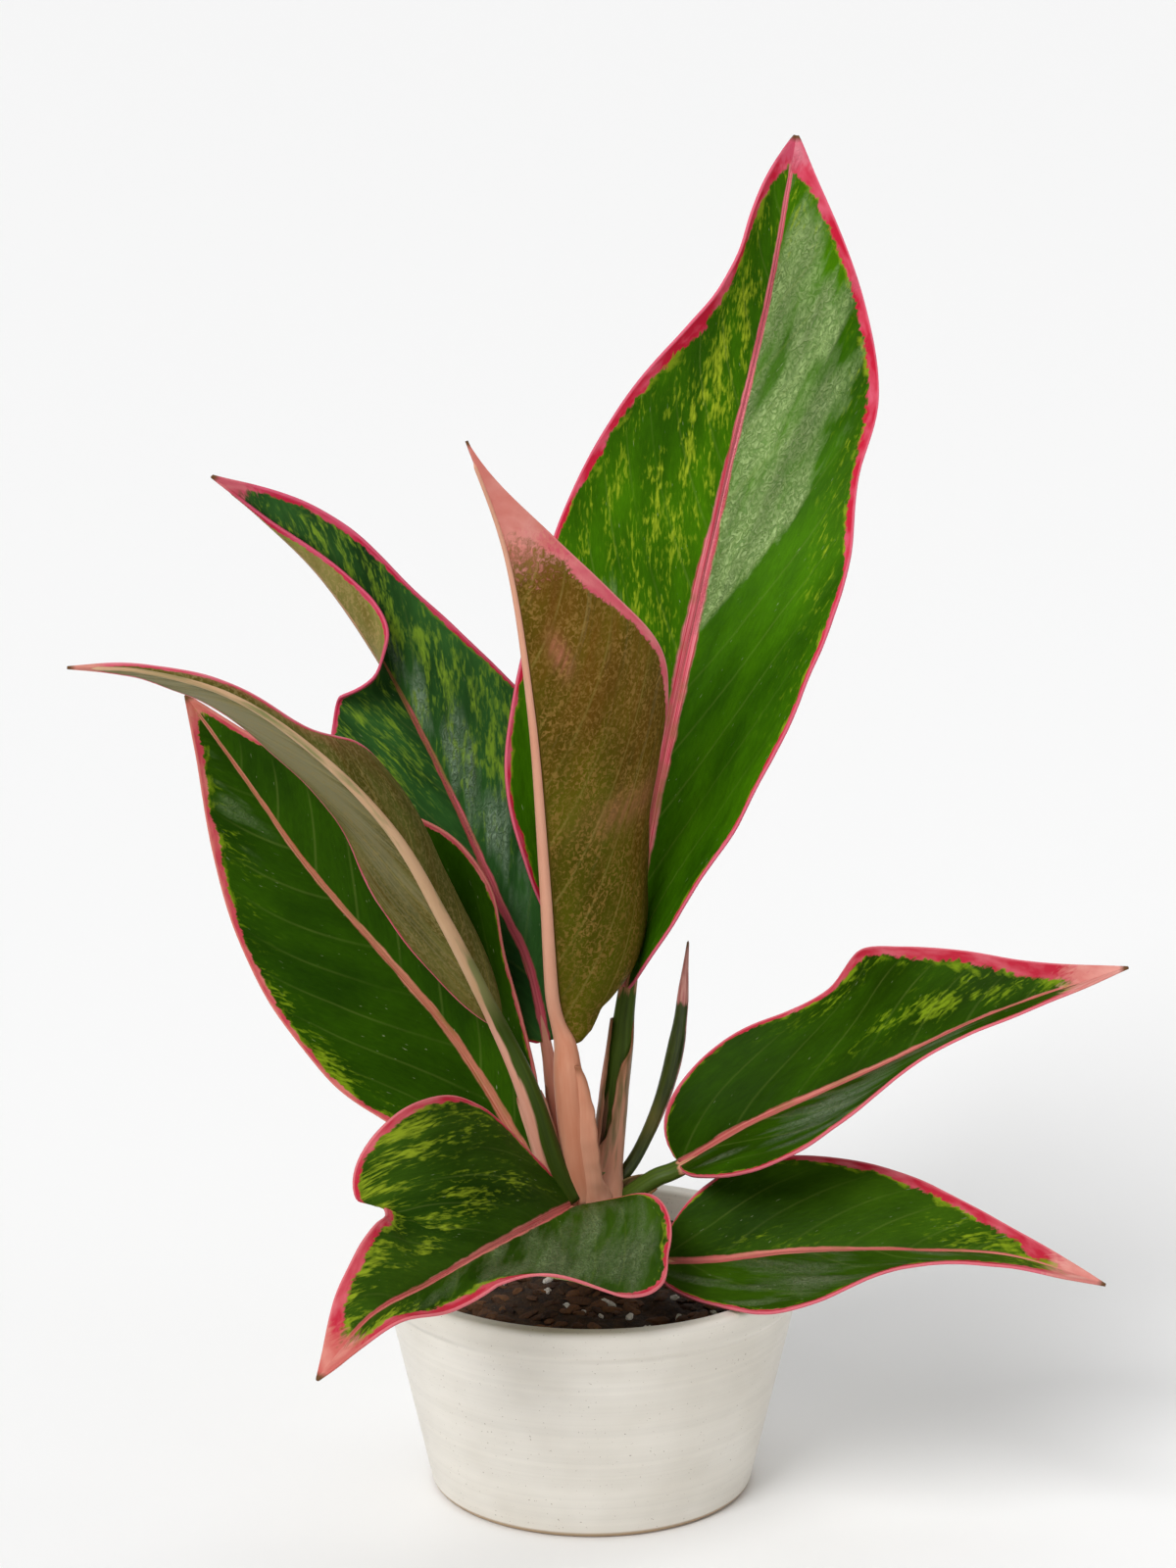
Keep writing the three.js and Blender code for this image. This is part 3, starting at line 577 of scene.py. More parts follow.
def new_material(name, **sockets):
    """A material whose shader has these plain values; returns it with its node tree and shader."""
    material = bpy.data.materials.new(name)
    material.use_nodes = True
    shader = material.node_tree.nodes["Principled BSDF"]
    for key, value in sockets.items():
        shader.inputs[key.replace("_", " ")].default_value = value
    return material, material.node_tree, shader


def finish(tree, shader, skin, gloss, height, strength, depth):
    """Links the colour, the roughness and a relief of this depth in mm."""
    relief = add(tree, "Bump", {"Strength": strength, "Distance": depth * MM, "Height": height})
    for key, value in {"Base Color": skin, "Roughness": gloss, "Normal": relief}.items():
        tree.links.new(value, shader.inputs[key])


def kept(tree, name):
    """The vector that a piece keeps under this name, and its three values."""
    vector = add(tree, "Attribute", out=1, attribute_name=name)
    return vector, *add(tree, "SeparateXYZ", [vector]).node.outputs


def place_in_mm(tree):
    """The place on the piece in mm, for patterns that go right through it."""
    place = add(tree, "TexCoord", out="Object")
    return add(tree, "VectorMath", [place, (1 / MM, 1 / MM, 1 / MM)], operation="MULTIPLY")


def streaks(tree, place, sizes, seed, levels=(), detail=3.0, twist=0.0):
    """Noise whose grains have these sizes in mm along the three values of `place`; 0 leaves a value out.
    `levels` are the two levels that the noise is cut to, and what it gives at each, if not 0 and 1. The seed
    moves the pattern, more `detail` adds finer grains, and `twist` curls them."""
    scale = tuple(1 / size if size else 0.0 for size in sizes)
    shift = (seed * 7.3, seed * 3.1, seed * 5.7)
    spot = add(tree, "VectorMath", [place, scale, shift], operation="MULTIPLY_ADD")
    grains = add(tree, "TexNoise", {"Vector": spot, "Scale": 1.0, "Detail": detail, "Distortion": twist})
    return add(tree, "MapRange", [grains, *levels]) if levels else grains


def painted(tree, skin, *coats):
    """A skin under coats of colour. Each coat is a mask, and the colour that it has where the mask is 1."""
    for mask, coat in coats:
        skin = add(tree, "Mix", {0: mask, 6: skin, 7: coat}, 2, data_type="RGBA")
    return skin


def shaded(tree, skin, *shades):
    """A skin made darker or brighter by each of these values."""
    for shade in shades:
        skin = add(tree, "HueSaturation", {"Value": shade, "Color": skin})
    return skin


# The brown of a dried leaf tip.
DRY = "#6b4a2f"
# Leaves have only a faint shine, and more of it where a sheen is painted into the colour, pale greyish green
# on the upper face and greyish on the underside.
LEAF_SHINE = 0.025
PAINTED_SHEEN_SHINE = 0.28
GREY_SHEEN_SHINE = 0.12


def vein_lines(tree, foot, edge, reach, shown):
    """A mask for thin side veins that come and go, and fade between 10 and 2 mm from the blade's edge."""
    near = add(tree, "Math", [foot, VEIN_SPACING / 2], operation="PINGPONG")
    mask = add(tree, "MapRange", [near, 0.2, reach, 1.0, 0.0], interpolation_type="SMOOTHSTEP")
    for part in (shown, add(tree, "MapRange", [edge, 2.0, 10.0])):
        mask = add(tree, "Math", [mask, part], operation="MULTIPLY")
    return mask


def pink_margin(tree, skin, look, seed, values, grains):
    """Paints the ragged pink edge, a lime line that breaks up beside it, and the pink and dry tip."""
    edge, margin, tip, run = values
    # `margin` goes from 0 at the edge to 1 where the pink ends. Fine and broad noise frays that border.
    ragged = streaks(tree, run, (1.6, 0, 0), seed, (0.3, 0.7, -0.16, 0.16))
    ragged = add(tree, "Math", [margin, ragged], operation="ADD")
    wide = streaks(tree, run, (11, 0, 0), seed + 1, (0.3, 0.7, -0.35, 0.35), 2.0)
    wide = add(tree, "Math", [wide, add(tree, "MapRange", [grains, 0.3, 0.7, -0.2, 0.2])], operation="ADD")
    border = add(tree, "Math", [ragged, wide], operation="ADD")
    # The lime line reaches past the pink in patches about 6 mm long.
    beside = streaks(tree, run, (6, 0, 1.5), seed + 2, (0.42, 0.72, 0.9, 2.7), 4.0)
    beside = add(tree, "Math", [beside, border], operation="SUBTRACT")
    lime = add(tree, "MapRange", [beside, 0.0, 0.9, 0.0, look["edge_lime"]])
    # The pink is paler in blotches about 8 mm long, and along its outermost half millimetre.
    blotches = streaks(tree, run, (8, 0, 1.2), seed + 3, (0.42, 0.7, 0.0, 0.7))
    rim = add(tree, "MapRange", [edge, 0.25, 0.6, 0.85, 0.0])
    red, pale = look["edge"]
    red = painted(tree, red, (blotches, pale), (rim, pale))
    inside = add(tree, "MapRange", [border, 0.9, 1.12, 1.0, 0.0])
    # The tip is pink as far as `pink_tip`, give or take the grains, and its last millimetre or two are dry.
    reach = look["pink_tip"]
    near = add(tree, "Math", [grains, 0.9 * reach, tip], operation="MULTIPLY_ADD")
    near = add(tree, "MapRange", [near, 1.2 * reach, 1.55 * reach, 1.0, 0.0])
    flush, pale = look["skin_tip"]
    flush = painted(tree, flush, (blotches, pale))
    dry = add(tree, "MapRange", [tip, 1.2, 2.6, 1.0, 0.0])
    return painted(tree, skin, (lime, look["lime"]), (inside, red), (near, flush), (dry, DRY))


def leaf_face(name, look, seed):
    """Living aglaonema blade, upper face: deep green cells under a thin wax that hardly shines, with a pale
    greyish sheen painted into the colour in patches and painted shade in places, with lime flecks that run
    along the side veins, a crimson rib and a pink edge."""
    material, tree, shader = new_material(name, IOR=1.46)
    mm, foot, _, edge = kept(tree, "leaf_mm")
    run, _, rib, margin = kept(tree, "leaf_run")
    _, flecks, painted_sheen, _ = kept(tree, "leaf_tone")
    _, fade, tip, dark = kept(tree, "leaf_more")
    lay = kept(tree, "leaf_lay")[0]
    # Two greens in patches about a centimetre wide, and faint lines along the veins.
    clouds = streaks(tree, lay, (30, 11, 0), seed)
    lines = streaks(tree, mm, (0.8, 22, 0), seed + 1)
    grains = streaks(tree, lay, (2.8, 0.8, 0), seed + 5, twist=0.4)
    skin = painted(tree, look["deep"], (add(tree, "MapRange", [clouds, 0.34, 0.66]), look["light"]))
    # Painted shade: the green is darkened where the `brown` spots lie, mostly low on the blade near the rib's
    # foot.
    darker = add(tree, "MapRange", [dark, 0.0, 1.0, 1.0, 0.55])
    lined = add(tree, "MapRange", [lines, 0.3, 0.7, 0.95, 1.04])
    grained = add(tree, "MapRange", [grains, 0.3, 0.7, 0.9, 1.1])
    skin = shaded(tree, skin, darker, lined, grained)
    # A painted sheen, highlights painted into the colour: pale greyish green in patches, crinkled like thin
    # film in grains of 2 mm, and made lighter and darker as painted light and shade of broad soft folds 6 mm
    # apart.
    crinkle = streaks(tree, lay, (2.2, 1.5, 0), seed + 2, (0.36, 0.6, 0.35, 1.0), 4.0, 2.2)
    fray = streaks(tree, lay, (26, 5, 0), seed + 3, (0.3, 0.7, -0.7, 0.5))
    level = add(tree, "MapRange", [add(tree, "Math", [painted_sheen, fray], operation="ADD"), 0.2, 0.9])
    level = add(tree, "Math", [level, add(tree, "MapRange", [painted_sheen, 0.02, 0.2])], operation="MULTIPLY")
    sheen = add(tree, "Math", [level, crinkle], operation="MULTIPLY")
    folds = streaks(tree, lay, (40, 6, 0), seed + 20, (0.32, 0.68, 0.62, 1.16), 2.0)
    painted_sheen_skin = shaded(tree, look["painted_sheen_colour"], folds)
    # Lime flecks, 0.8 mm wide and 2.8 mm long, crowded in clouds 4 mm wide.
    crowds = streaks(tree, lay, (13, 3.4, 0), seed + 4, (0.4, 0.64), 4.0)
    amount = add(tree, "Math", [flecks, crowds], operation="MULTIPLY")
    limy = add(tree, "Math", [amount, 0.3, grains], operation="MULTIPLY_ADD")
    limy = add(tree, "MapRange", [limy, 0.58, 0.86, 0.0, 0.85])
    limy = add(tree, "Math", [limy, add(tree, "MapRange", [amount, 0.0, 0.2])], operation="MULTIPLY")
    # Old scratches and dust: a few pale specks half a millimetre across.
    specks = streaks(tree, mm, (0.9, 1.3, 0), seed + 30, (0.76, 0.82, 0.0, 0.55), 1.0)
    # Pale side veins, drawn 0.7 mm wide.
    shown = streaks(tree, mm, (60, 16, 0), seed + 6, (0.35, 0.65, 0.02, 0.14), 2.0)
    veins = vein_lines(tree, foot, edge, 0.9, shown)
    # The rib's stripe with paler lines 0.4 mm wide, which turns green where it fades.
    wander = streaks(tree, run, (6, 0, 0), seed + 7, (0.3, 0.7, -0.2, 0.2))
    inner = add(tree, "Math", [rib, wander], operation="ADD")
    on_rib = add(tree, "MapRange", [inner, 0.8, 1.15, 1.0, 0.0])
    stripe, pale = look["rib"]
    pale_lines = streaks(tree, mm, (30, 0.4, 0), seed + 8, (0.35, 0.65), 2.0)
    fading = streaks(tree, run, (9, 0, 0), seed + 9, (0.3, 0.7, -0.3, 0.3))
    fading = add(tree, "MapRange", [add(tree, "Math", [fade, fading], operation="ADD"), 0.2, 0.7, 0.0, 0.8])
    stripe = painted(tree, stripe, (pale_lines, pale), (fading, "#76702f"))
    # The first coat is the painted sheen, highlights painted into the colour.
    coats = (sheen, painted_sheen_skin), (limy, look["lime"]), (specks, "#a3ab86"), (veins, "#8a9a4a"), (on_rib, stripe)
    skin = painted(tree, skin, *coats)
    skin = pink_margin(tree, skin, look, seed + 10, (edge, margin, tip, run), grains)
    shine = add(tree, "MapRange", [level, 0.0, 1.0, LEAF_SHINE, PAINTED_SHEEN_SHINE])
    tree.links.new(shine, shader.inputs["Specular IOR Level"])
    # Cells, crinkles and fine veins raise the skin by a tenth of a millimetre or two.
    relief = add(tree, "Math", [grains, 0.6], operation="MULTIPLY")
    relief = add(tree, "Math", [lines, 0.3, relief], operation="MULTIPLY_ADD")
    relief = add(tree, "Math", [sheen, 4.0, relief], operation="MULTIPLY_ADD")
    gloss = add(tree, "MapRange", [clouds, 0.36, 0.64, 0.4, 0.5])
    finish(tree, shader, skin, gloss, relief, 0.7, 0.2)
    return material


def leaf_back(name, look, seed):
    """Living aglaonema blade, underside: matt and brownish, grained with tan cells along the side veins."""
    material, tree, shader = new_material(name, IOR=1.45)
    mm, foot, _, edge = kept(tree, "leaf_mm")
    run, _, _, margin = kept(tree, "leaf_run")
    _, leafy, painted_sheen, blush = kept(tree, "leaf_tone")
    _, _, tip, brown = kept(tree, "leaf_more")
    lay = kept(tree, "leaf_lay")[0]
    clouds = streaks(tree, lay, (24, 10, 0), seed)
    light = add(tree, "MapRange", [clouds, 0.36, 0.64])
    rusty = streaks(tree, mm, (8, 8, 0), seed + 21, (0.3, 0.7, -0.3, 0.3))
    rusty = add(tree, "Math", [brown, rusty], operation="ADD")
    rusty = add(tree, "MapRange", [rusty, 0.0, 1.0, 0.0, 0.75])
    green = add(tree, "MapRange", [clouds, 0.35, 0.65, 0.15, 0.75])
    green = add(tree, "Math", [leafy, green], operation="MULTIPLY")
    coats = (light, look["under_light"]), (rusty, "#6a4014"), (green, look["deep"])
    skin = painted(tree, look["under"], *coats)
    lines = streaks(tree, mm, (0.9, 26, 0), seed + 1)
    skin = shaded(tree, skin, add(tree, "MapRange", [lines, 0.3, 0.7, 0.97, 1.03]))
    # Painted sheen: greyish highlights painted into the colour where the sheen spots lie, in streaks along
    # the veins.
    fray = streaks(tree, mm, (3.0, 16, 0), seed + 3)
    level = add(tree, "Math", [painted_sheen, add(tree, "MapRange", [fray, 0.3, 0.7, -0.3, 0.3])], operation="ADD")
    painted_grey_sheen = add(tree, "MapRange", [level, 0.2, 0.9, 0.0, 0.75])
    # Tan grains 1 mm across, thinly and thickly sown.
    grains = streaks(tree, lay, (1.2, 1.0, 0), seed + 2, (), 4.0, 0.8)
    sown = streaks(tree, lay, (14, 6, 0), seed + 22, (0.35, 0.65, 0.3, 0.8))
    sown = add(tree, "Math", [add(tree, "MapRange", [grains, 0.47, 0.62]), sown], operation="MULTIPLY")
    shown = streaks(tree, mm, (30, 8, 0), seed + 6, (0.35, 0.6, 0.05, 0.35), 2.0)
    veins = vein_lines(tree, foot, edge, 1.0, shown)
    flush = add(tree, "MapRange", [fray, 0.3, 0.55, 0.2, 1.0])
    flush = add(tree, "Math", [flush, blush], operation="MULTIPLY")
    coats = (painted_grey_sheen, "#87825f"), (sown, look["grain"]), (veins, "#9c8a48"), (flush, "#b8705a")
    skin = painted(tree, skin, *coats)
    skin = pink_margin(tree, skin, look, seed + 10, (edge, margin, tip, run), grains)
    shine = add(tree, "MapRange", [level, 0.0, 1.0, LEAF_SHINE, GREY_SHEEN_SHINE])
    tree.links.new(shine, shader.inputs["Specular IOR Level"])
    relief = add(tree, "Math", [lines, 0.3, grains], operation="MULTIPLY_ADD")
    gloss = add(tree, "MapRange", [clouds, 0.36, 0.64, 0.5, 0.6])
    finish(tree, shader, skin, gloss, relief, 0.5, 0.12)
    return material


def leaf_stalk(name, seed, flesh, pale, green, rib):
    """Living leaf stalk: smooth, firm and slightly waxy, salmon pink with faint lengthwise lines, and green
    where `stalk_tone` says so."""
    material, tree, shader = new_material(name, IOR=1.45, Specular_IOR_Level=0.15)
    run = kept(tree, "stalk_run")[0]
    _, leafy, brown, light = kept(tree, "stalk_tone")
    lines = streaks(tree, run, (0.8, 0.8, 40), seed, (0.3, 0.7))
    clouds = streaks(tree, run, (4, 4, 18), seed + 2, (0.35, 0.65), 4.0)
    clouds = add(tree, "Math", [clouds, 0.6], operation="MULTIPLY")
    clouds = add(tree, "Math", [lines, 0.4, clouds], operation="MULTIPLY_ADD")
    patches = streaks(tree, run, (1.6, 1.6, 14), seed + 1, (0.3, 0.7, -0.3, 0.3))
    leafy = add(tree, "MapRange", [add(tree, "Math", [leafy, patches], operation="ADD"), 0.3, 0.7])
    leafy_skin = shaded(tree, green, add(tree, "MapRange", [lines, 0.0, 1.0, 0.9, 1.5]))
    skin = painted(tree, flesh, (clouds, pale), (leafy, leafy_skin), (light, rib), (brown, "#7a4a2c"))
    finish(tree, shader, skin, add(tree, "MapRange", [lines, 0.0, 1.0, 0.38, 0.46]), lines, 0.3, 0.1)
    return material


def dry_sheath(name, seed):
    """The inside of a leaf sheath where it opens: thin, dry and brown, with fine lines along it."""
    material, tree, shader = new_material(name, IOR=1.45)
    run = kept(tree, "stalk_run")[0]
    lines = streaks(tree, run, (0.6, 0.6, 24), seed, (0.35, 0.65))
    clouds = streaks(tree, run, (2.5, 2.5, 16), seed + 1, (0.4, 0.65, 0.0, 0.7))
    skin = painted(tree, "#4a2f14", (lines, "#7a6136"), (clouds, "#3f4517"))
    finish(tree, shader, skin, add(tree, "MapRange", [lines, 0.0, 1.0, 0.5, 0.65]), lines, 0.5, 0.12)
    return material


def rolled_skin():
    """The youngest leaf, rolled with its upper face inwards: dark olive outside, with fine lines along it,
    a pink margin and a pink point."""
    material, tree, shader = new_material("rolled_young_leaf", IOR=1.46)
    run = kept(tree, "stalk_run")[0]
    _, pink, brown, light = kept(tree, "stalk_tone")
    lines = streaks(tree, run, (0.5, 0.5, 16), 3, (0.35, 0.65))
    clouds = streaks(tree, run, (2.4, 2.4, 9), 4, (0.45, 0.7, 0.0, 0.6), 4.0)
    skin = painted(tree, "#222d08", (lines, "#36420f"), (clouds, "#465214"), (light, "#5c5422"))
    edge = streaks(tree, run, (0.8, 0.8, 4), 5, (0.3, 0.7, -0.25, 0.25))
    edge = add(tree, "MapRange", [add(tree, "Math", [pink, edge], operation="ADD"), 0.35, 0.7])
    flush = painted(tree, "#a4605a", (lines, "#c58c80"))
    skin = painted(tree, skin, (edge, flush), (brown, DRY))
    finish(tree, shader, skin, add(tree, "MapRange", [lines, 0.0, 1.0, 0.36, 0.46]), lines, 0.5, 0.1)
    return material


def cane_bark():
    """The green cane of an aglaonema: smooth and slightly waxy, tan and corky low down and on its rings."""
    material, tree, shader = new_material("green_cane", IOR=1.45)
    run = kept(tree, "stalk_run")[0]
    _, green, scar, _ = kept(tree, "stalk_tone")
    spread = streaks(tree, run, (3.0, 3.0, 5.0), 21, (0.3, 0.7, -0.3, 0.3), 4.0)
    green = add(tree, "Math", [green, spread], operation="ADD")
    cork = streaks(tree, run, (0.8, 0.8, 0.5), 22, (), 4.0)
    patch = add(tree, "Math", [add(tree, "MapRange", [cork, 0.35, 0.6]), scar], operation="MULTIPLY")
    skin = painted(tree, "#6d5a38", (green, "#5f7a35"), (patch, "#8c7550"))
    finish(tree, shader, skin, add(tree, "MapRange", [patch, 0.0, 1.0, 0.45, 0.8]), cork, 0.6, 0.25)
    return material


def glazed_stoneware():
    """Thrown stoneware under a satin off-white glaze: faint turning lines, a warm cloudiness, and fine iron
    specks 0.4 mm across."""
    material, tree, shader = new_material("satin_white_stoneware", IOR=1.52)
    mm = place_in_mm(tree)
    clouds = streaks(tree, mm, (30, 30, 22), 31, (0.35, 0.65))
    turning = streaks(tree, mm, (0, 0, 1.3), 32)
    skin = painted(tree, "#dcd6ca", (clouds, "#e9e4da"))
    skin = shaded(tree, skin, add(tree, "MapRange", [turning, 0.35, 0.65, 0.97, 1.02]))
    specks = streaks(tree, mm, (0.6, 0.6, 0.6), 33, (0.73, 0.78, 0.0, 0.75), 1.0)
    # The glaze is wiped off the foot, where the bare clay shows.
    height = add(tree, "SeparateXYZ", [mm], 2)
    bare = add(tree, "MapRange", [height, 1.2, 1.8, 1.0, 0.0])
    skin = painted(tree, skin, (specks, "#7d6a52"), (bare, "#b39a7c"))
    gloss = add(tree, "MapRange", [clouds, 0.0, 1.0, 0.34, 0.46])
    gloss = add(tree, "Math", [bare, 0.4, gloss], operation="MULTIPLY_ADD")
    relief = add(tree, "Math", [turning, clouds], operation="ADD")
    finish(tree, shader, skin, gloss, relief, 0.35, 0.3)
    return material


def damp_mix():
    """Damp peat and coir: dark, matt crumbs from 0.5 to 3 mm, with a few paler fibres."""
    material, tree, shader = new_material("damp_potting_mix", IOR=1.4)
    mm = place_in_mm(tree)
    crumbs = streaks(tree, mm, (2.6, 2.6, 2.6), 41, (0.3, 0.7), 5.0)
    fibres = streaks(tree, mm, (0.4, 3.0, 0.8), 42, (0.66, 0.74, 0.0, 0.7), 2.0)
    skin = painted(tree, "#1d130c", (crumbs, "#49331f"), (fibres, "#7a5c3c"))
    fine = streaks(tree, mm, (0.9, 0.9, 0.9), 43, (), 5.0)
    finish(tree, shader, skin, add(tree, "MapRange", [crumbs, 0.0, 1.0, 0.75, 0.95]), fine, 0.9, 0.6)
    return material


def bark_chip():
    """Fine composted bark: reddish brown flakes, each in its own shade, with a fibrous grain."""
    material, tree, shader = new_material("composted_bark", IOR=1.4)
    shade = add(tree, "Attribute", out=2, attribute_name="bit_shade")
    grain = streaks(tree, place_in_mm(tree), (0.5, 2.0, 0.5), 51, (0.3, 0.7, 0.75, 1.2))
    skin = shaded(tree, painted(tree, "#2a1a10", (shade, "#6a4628")), grain)
    finish(tree, shader, skin, add(tree, "MapRange", [grain, 0.75, 1.2, 0.7, 0.9]), grain, 0.6, 0.3)
    return material


def perlite():
    """Expanded perlite: chalky off-white grains, pitted and slightly stained by the damp mix."""
    material, tree, shader = new_material("expanded_perlite", IOR=1.5)
    shade = add(tree, "Attribute", out=2, attribute_name="bit_shade")
    pits = streaks(tree, place_in_mm(tree), (0.5, 0.5, 0.5), 61)
    stain = add(tree, "MapRange", [pits, 0.35, 0.6, 1.0, 0.0])
    stain = add(tree, "Math", [stain, shade], operation="MULTIPLY")
    skin = painted(tree, "#dedad0", (stain, "#9c8f7c"))
    finish(tree, shader, skin, add(tree, "MapRange", [pits, 0.3, 0.7, 0.75, 0.95]), pits, 0.8, 0.3)
    return material


# Leaves.

# A blade that bends less than this across, in radians, is worked out as if it bent this much.
LEAST_BEND = 1e-4


def spots(places, t, across):
    """The sum of soft round spots on a blade, up to 1. A spot keeps to its own half, if not on the rib."""
    total = np.zeros(len(t))
    for spot_t, spot_across, reach_t, reach_across, strength in places:
        far = ((t - spot_t) / reach_t) ** 2 + ((across - spot_across) / reach_across) ** 2
        total += strength * np.exp(-far) * (across * spot_across >= 0)
    return np.minimum(total, 1)


def on_half(leaf, key, across, t):
    """The value of a list that each half of the blade has its own of. A list that is left out is 0."""
    left, right = (along(leaf[half].get(key, [0, 0]), t) for half in ("left", "right"))
    return np.where(across < 0, left, right)


def blade_points(leaf, line, t, across):
    """Points of the blade, as in the CAD: across runs from -1 at the left edge to 1 at the right edge."""
    v = np.abs(across)
    ahead, front, side = directions(line, t)
    keys = ("width", "inner", "outer", "sweep")
    width, inner, outer, sweep = (on_half(leaf, key, across, t) for key in keys)
    widest = leaf["low"] / (leaf["low"] + leaf["high"])
    width = width * (t / widest) ** leaf["low"] * ((1 - t) / (1 - widest)) ** leaf["high"]
    inner, outer, sweep = np.radians(inner), np.radians(outer), np.radians(sweep)
    bend = np.where(np.abs(outer - inner) < LEAST_BEND, LEAST_BEND, outer - inner)
    lean = inner + bend * v
    out = (np.sin(lean) - np.sin(inner)) / bend * width * np.cos(sweep)
    up = (np.cos(inner) - np.cos(lean)) / bend * width * np.cos(sweep)
    forth = width * np.sin(sweep) * v
    shift = side * (np.sign(across) * out)[:, None] + front * up[:, None] + ahead * forth[:, None]
    return line(t) + shift, width


def ridge_direction(leaf, line, t, ahead):
    """Away from the upper face, halfway between the two halves of the blade, and square to `ahead`."""
    _, front, side = directions(line, t)
    left, right = (np.radians(along(leaf[half]["inner"], t))[:, None] for half in ("left", "right"))
    ridge = unit(front * (np.cos(left) + np.cos(right)) + side * (np.sin(left) - np.sin(right)))
    ridge = ridge * -leaf["upper"]
    return unit(ridge - np.sum(ridge * ahead, axis=1)[:, None] * ahead)


def make_blade(name, leaf, look, seed):
    """A grid laid out as the blade, with relief on its upper side, and then given its thickness."""
    line, length = measured_line(leaf["stalk"] + leaf["rib"], len(leaf["stalk"]))
    piece, share, y = grid(name, round(length * ROWS_PER_MM), BLADE_COLUMNS)
    t = BLADE_START + (BLADE_END - BLADE_START) * share
    across = np.sign(y) * (np.abs(y) - CROWDING * np.sin(2 * np.pi * np.abs(y)))
    side = np.sign(across)
    points, width = blade_points(leaf, line, t, across)
    place_points(piece, points)
    run = length * t
    offset = np.abs(across) * width
    edge = width - offset
    foot = run - VEIN_LEAN * offset - VEIN_CURVE * offset**2 / np.maximum(width, 1)
    # A side vein is a groove in the upper face, and the skin swells a little between two of them.
    to_vein = np.abs((foot / VEIN_SPACING + 0.5) % 1 - 0.5) * VEIN_SPACING * VEIN_CLOSENESS
    # Veins and folds fade out beside the rib and near the edge.
    inside = smooth(offset, *FOLDS_FROM_RIB) * smooth(edge, *FOLDS_FROM_EDGE)
    channel = -CHANNEL_DEPTH * (1 - CHANNEL_LOSS * t) * bell(offset, CHANNEL_REACH)
    quilt = QUILT_HEIGHT * np.sin(np.pi * np.clip(to_vein / QUILT_REACH, 0, 1) / 2)
    quilt -= GROOVE_DEPTH * bell(to_vein, GROOVE_REACH)
    # Small folds with others of half their size on them, a broad swell and the waves of the edge. `side`
    # gives each half its own.
    long, wide = look["fold"]
    crease = lumps(foot / long + 40 * side, offset / wide, seed)
    crease += 0.5 * lumps(2 * foot / long + 90 * side, 2 * offset / wide, seed + 5)
    swell = SWELL_HEIGHT * lumps(run / SWELL_LENGTH + 20 * side, offset / SWELL_WIDTH, seed + 9)
    swell *= smooth(offset, *SWELL_FROM_RIB)
    wave = look["wave"] * lumps(run / WAVE_LENGTH + 60 * side, 0 * t, seed + 13)
    wave *= np.exp(-edge / WAVE_REACH)
    wave *= smooth(t, *WAVE_FROM_FOOT) * smooth(1 - t, *WAVE_FROM_TIP)
    height = channel + (quilt + look["wrinkle"] * crease) * inside + swell + wave
    drift = math.radians(look["drift"])
    grain_along = run * math.cos(drift) + offset * math.sin(drift)
    grain_across = offset * math.cos(drift) - run * math.sin(drift)
    # On the right half, the painted sheen starts at a side vein, within 2 mm to either side of it.
    bound = np.where(across > 0, smooth(foot, look["painted_sheen_from"] - 2, look["painted_sheen_from"] + 2), 1.0)
    painted_sheen = spots(look["painted_sheen"], t, across) * bound
    ripple = lumps(grain_across / RIPPLE_WIDTH, grain_along / RIPPLE_LENGTH, seed + 17)
    height += look["ripple"] * painted_sheen * ripple
    # The grid's own normals look away from the upper face where that face looks forward.
    upward = read(piece.data.vertex_normals, "vector") * -leaf["upper"]
    place_points(piece, points + upward * height[:, None])
    flecks, blush, brown = (spots(look[key], t, across) for key in ("flecks", "blush", "brown"))
    margin = on_half(leaf, "margin", across, t)
    # The two halves are kept hundreds of mm apart, so that their patterns aren't alike.
    keep_values(piece, "leaf_mm", foot + 200 * (side + 1), offset * side, edge)
    keep_values(piece, "leaf_lay", grain_along + 300 * side, grain_across, 0)
    keep_values(piece, "leaf_run", run + 300 * side, offset / along(look["stripe"], t), edge / margin)
    keep_values(piece, "leaf_tone", flecks, painted_sheen, blush)
    # On the upper face the `brown` spots are painted shade, and on the underside they are a brown patch.
    keep_values(piece, "leaf_more", along(look["rib_green"], t), length * (1 - t), brown)
    if leaf["upper"] > 0:
        turn_over(piece)
    give(piece, leaf_face("waxy_leaf_" + name, look, seed), leaf_back("leaf_underside_" + name, look, seed))
    thicken(piece, BLADE_THICKNESS, 0.0)
    return piece


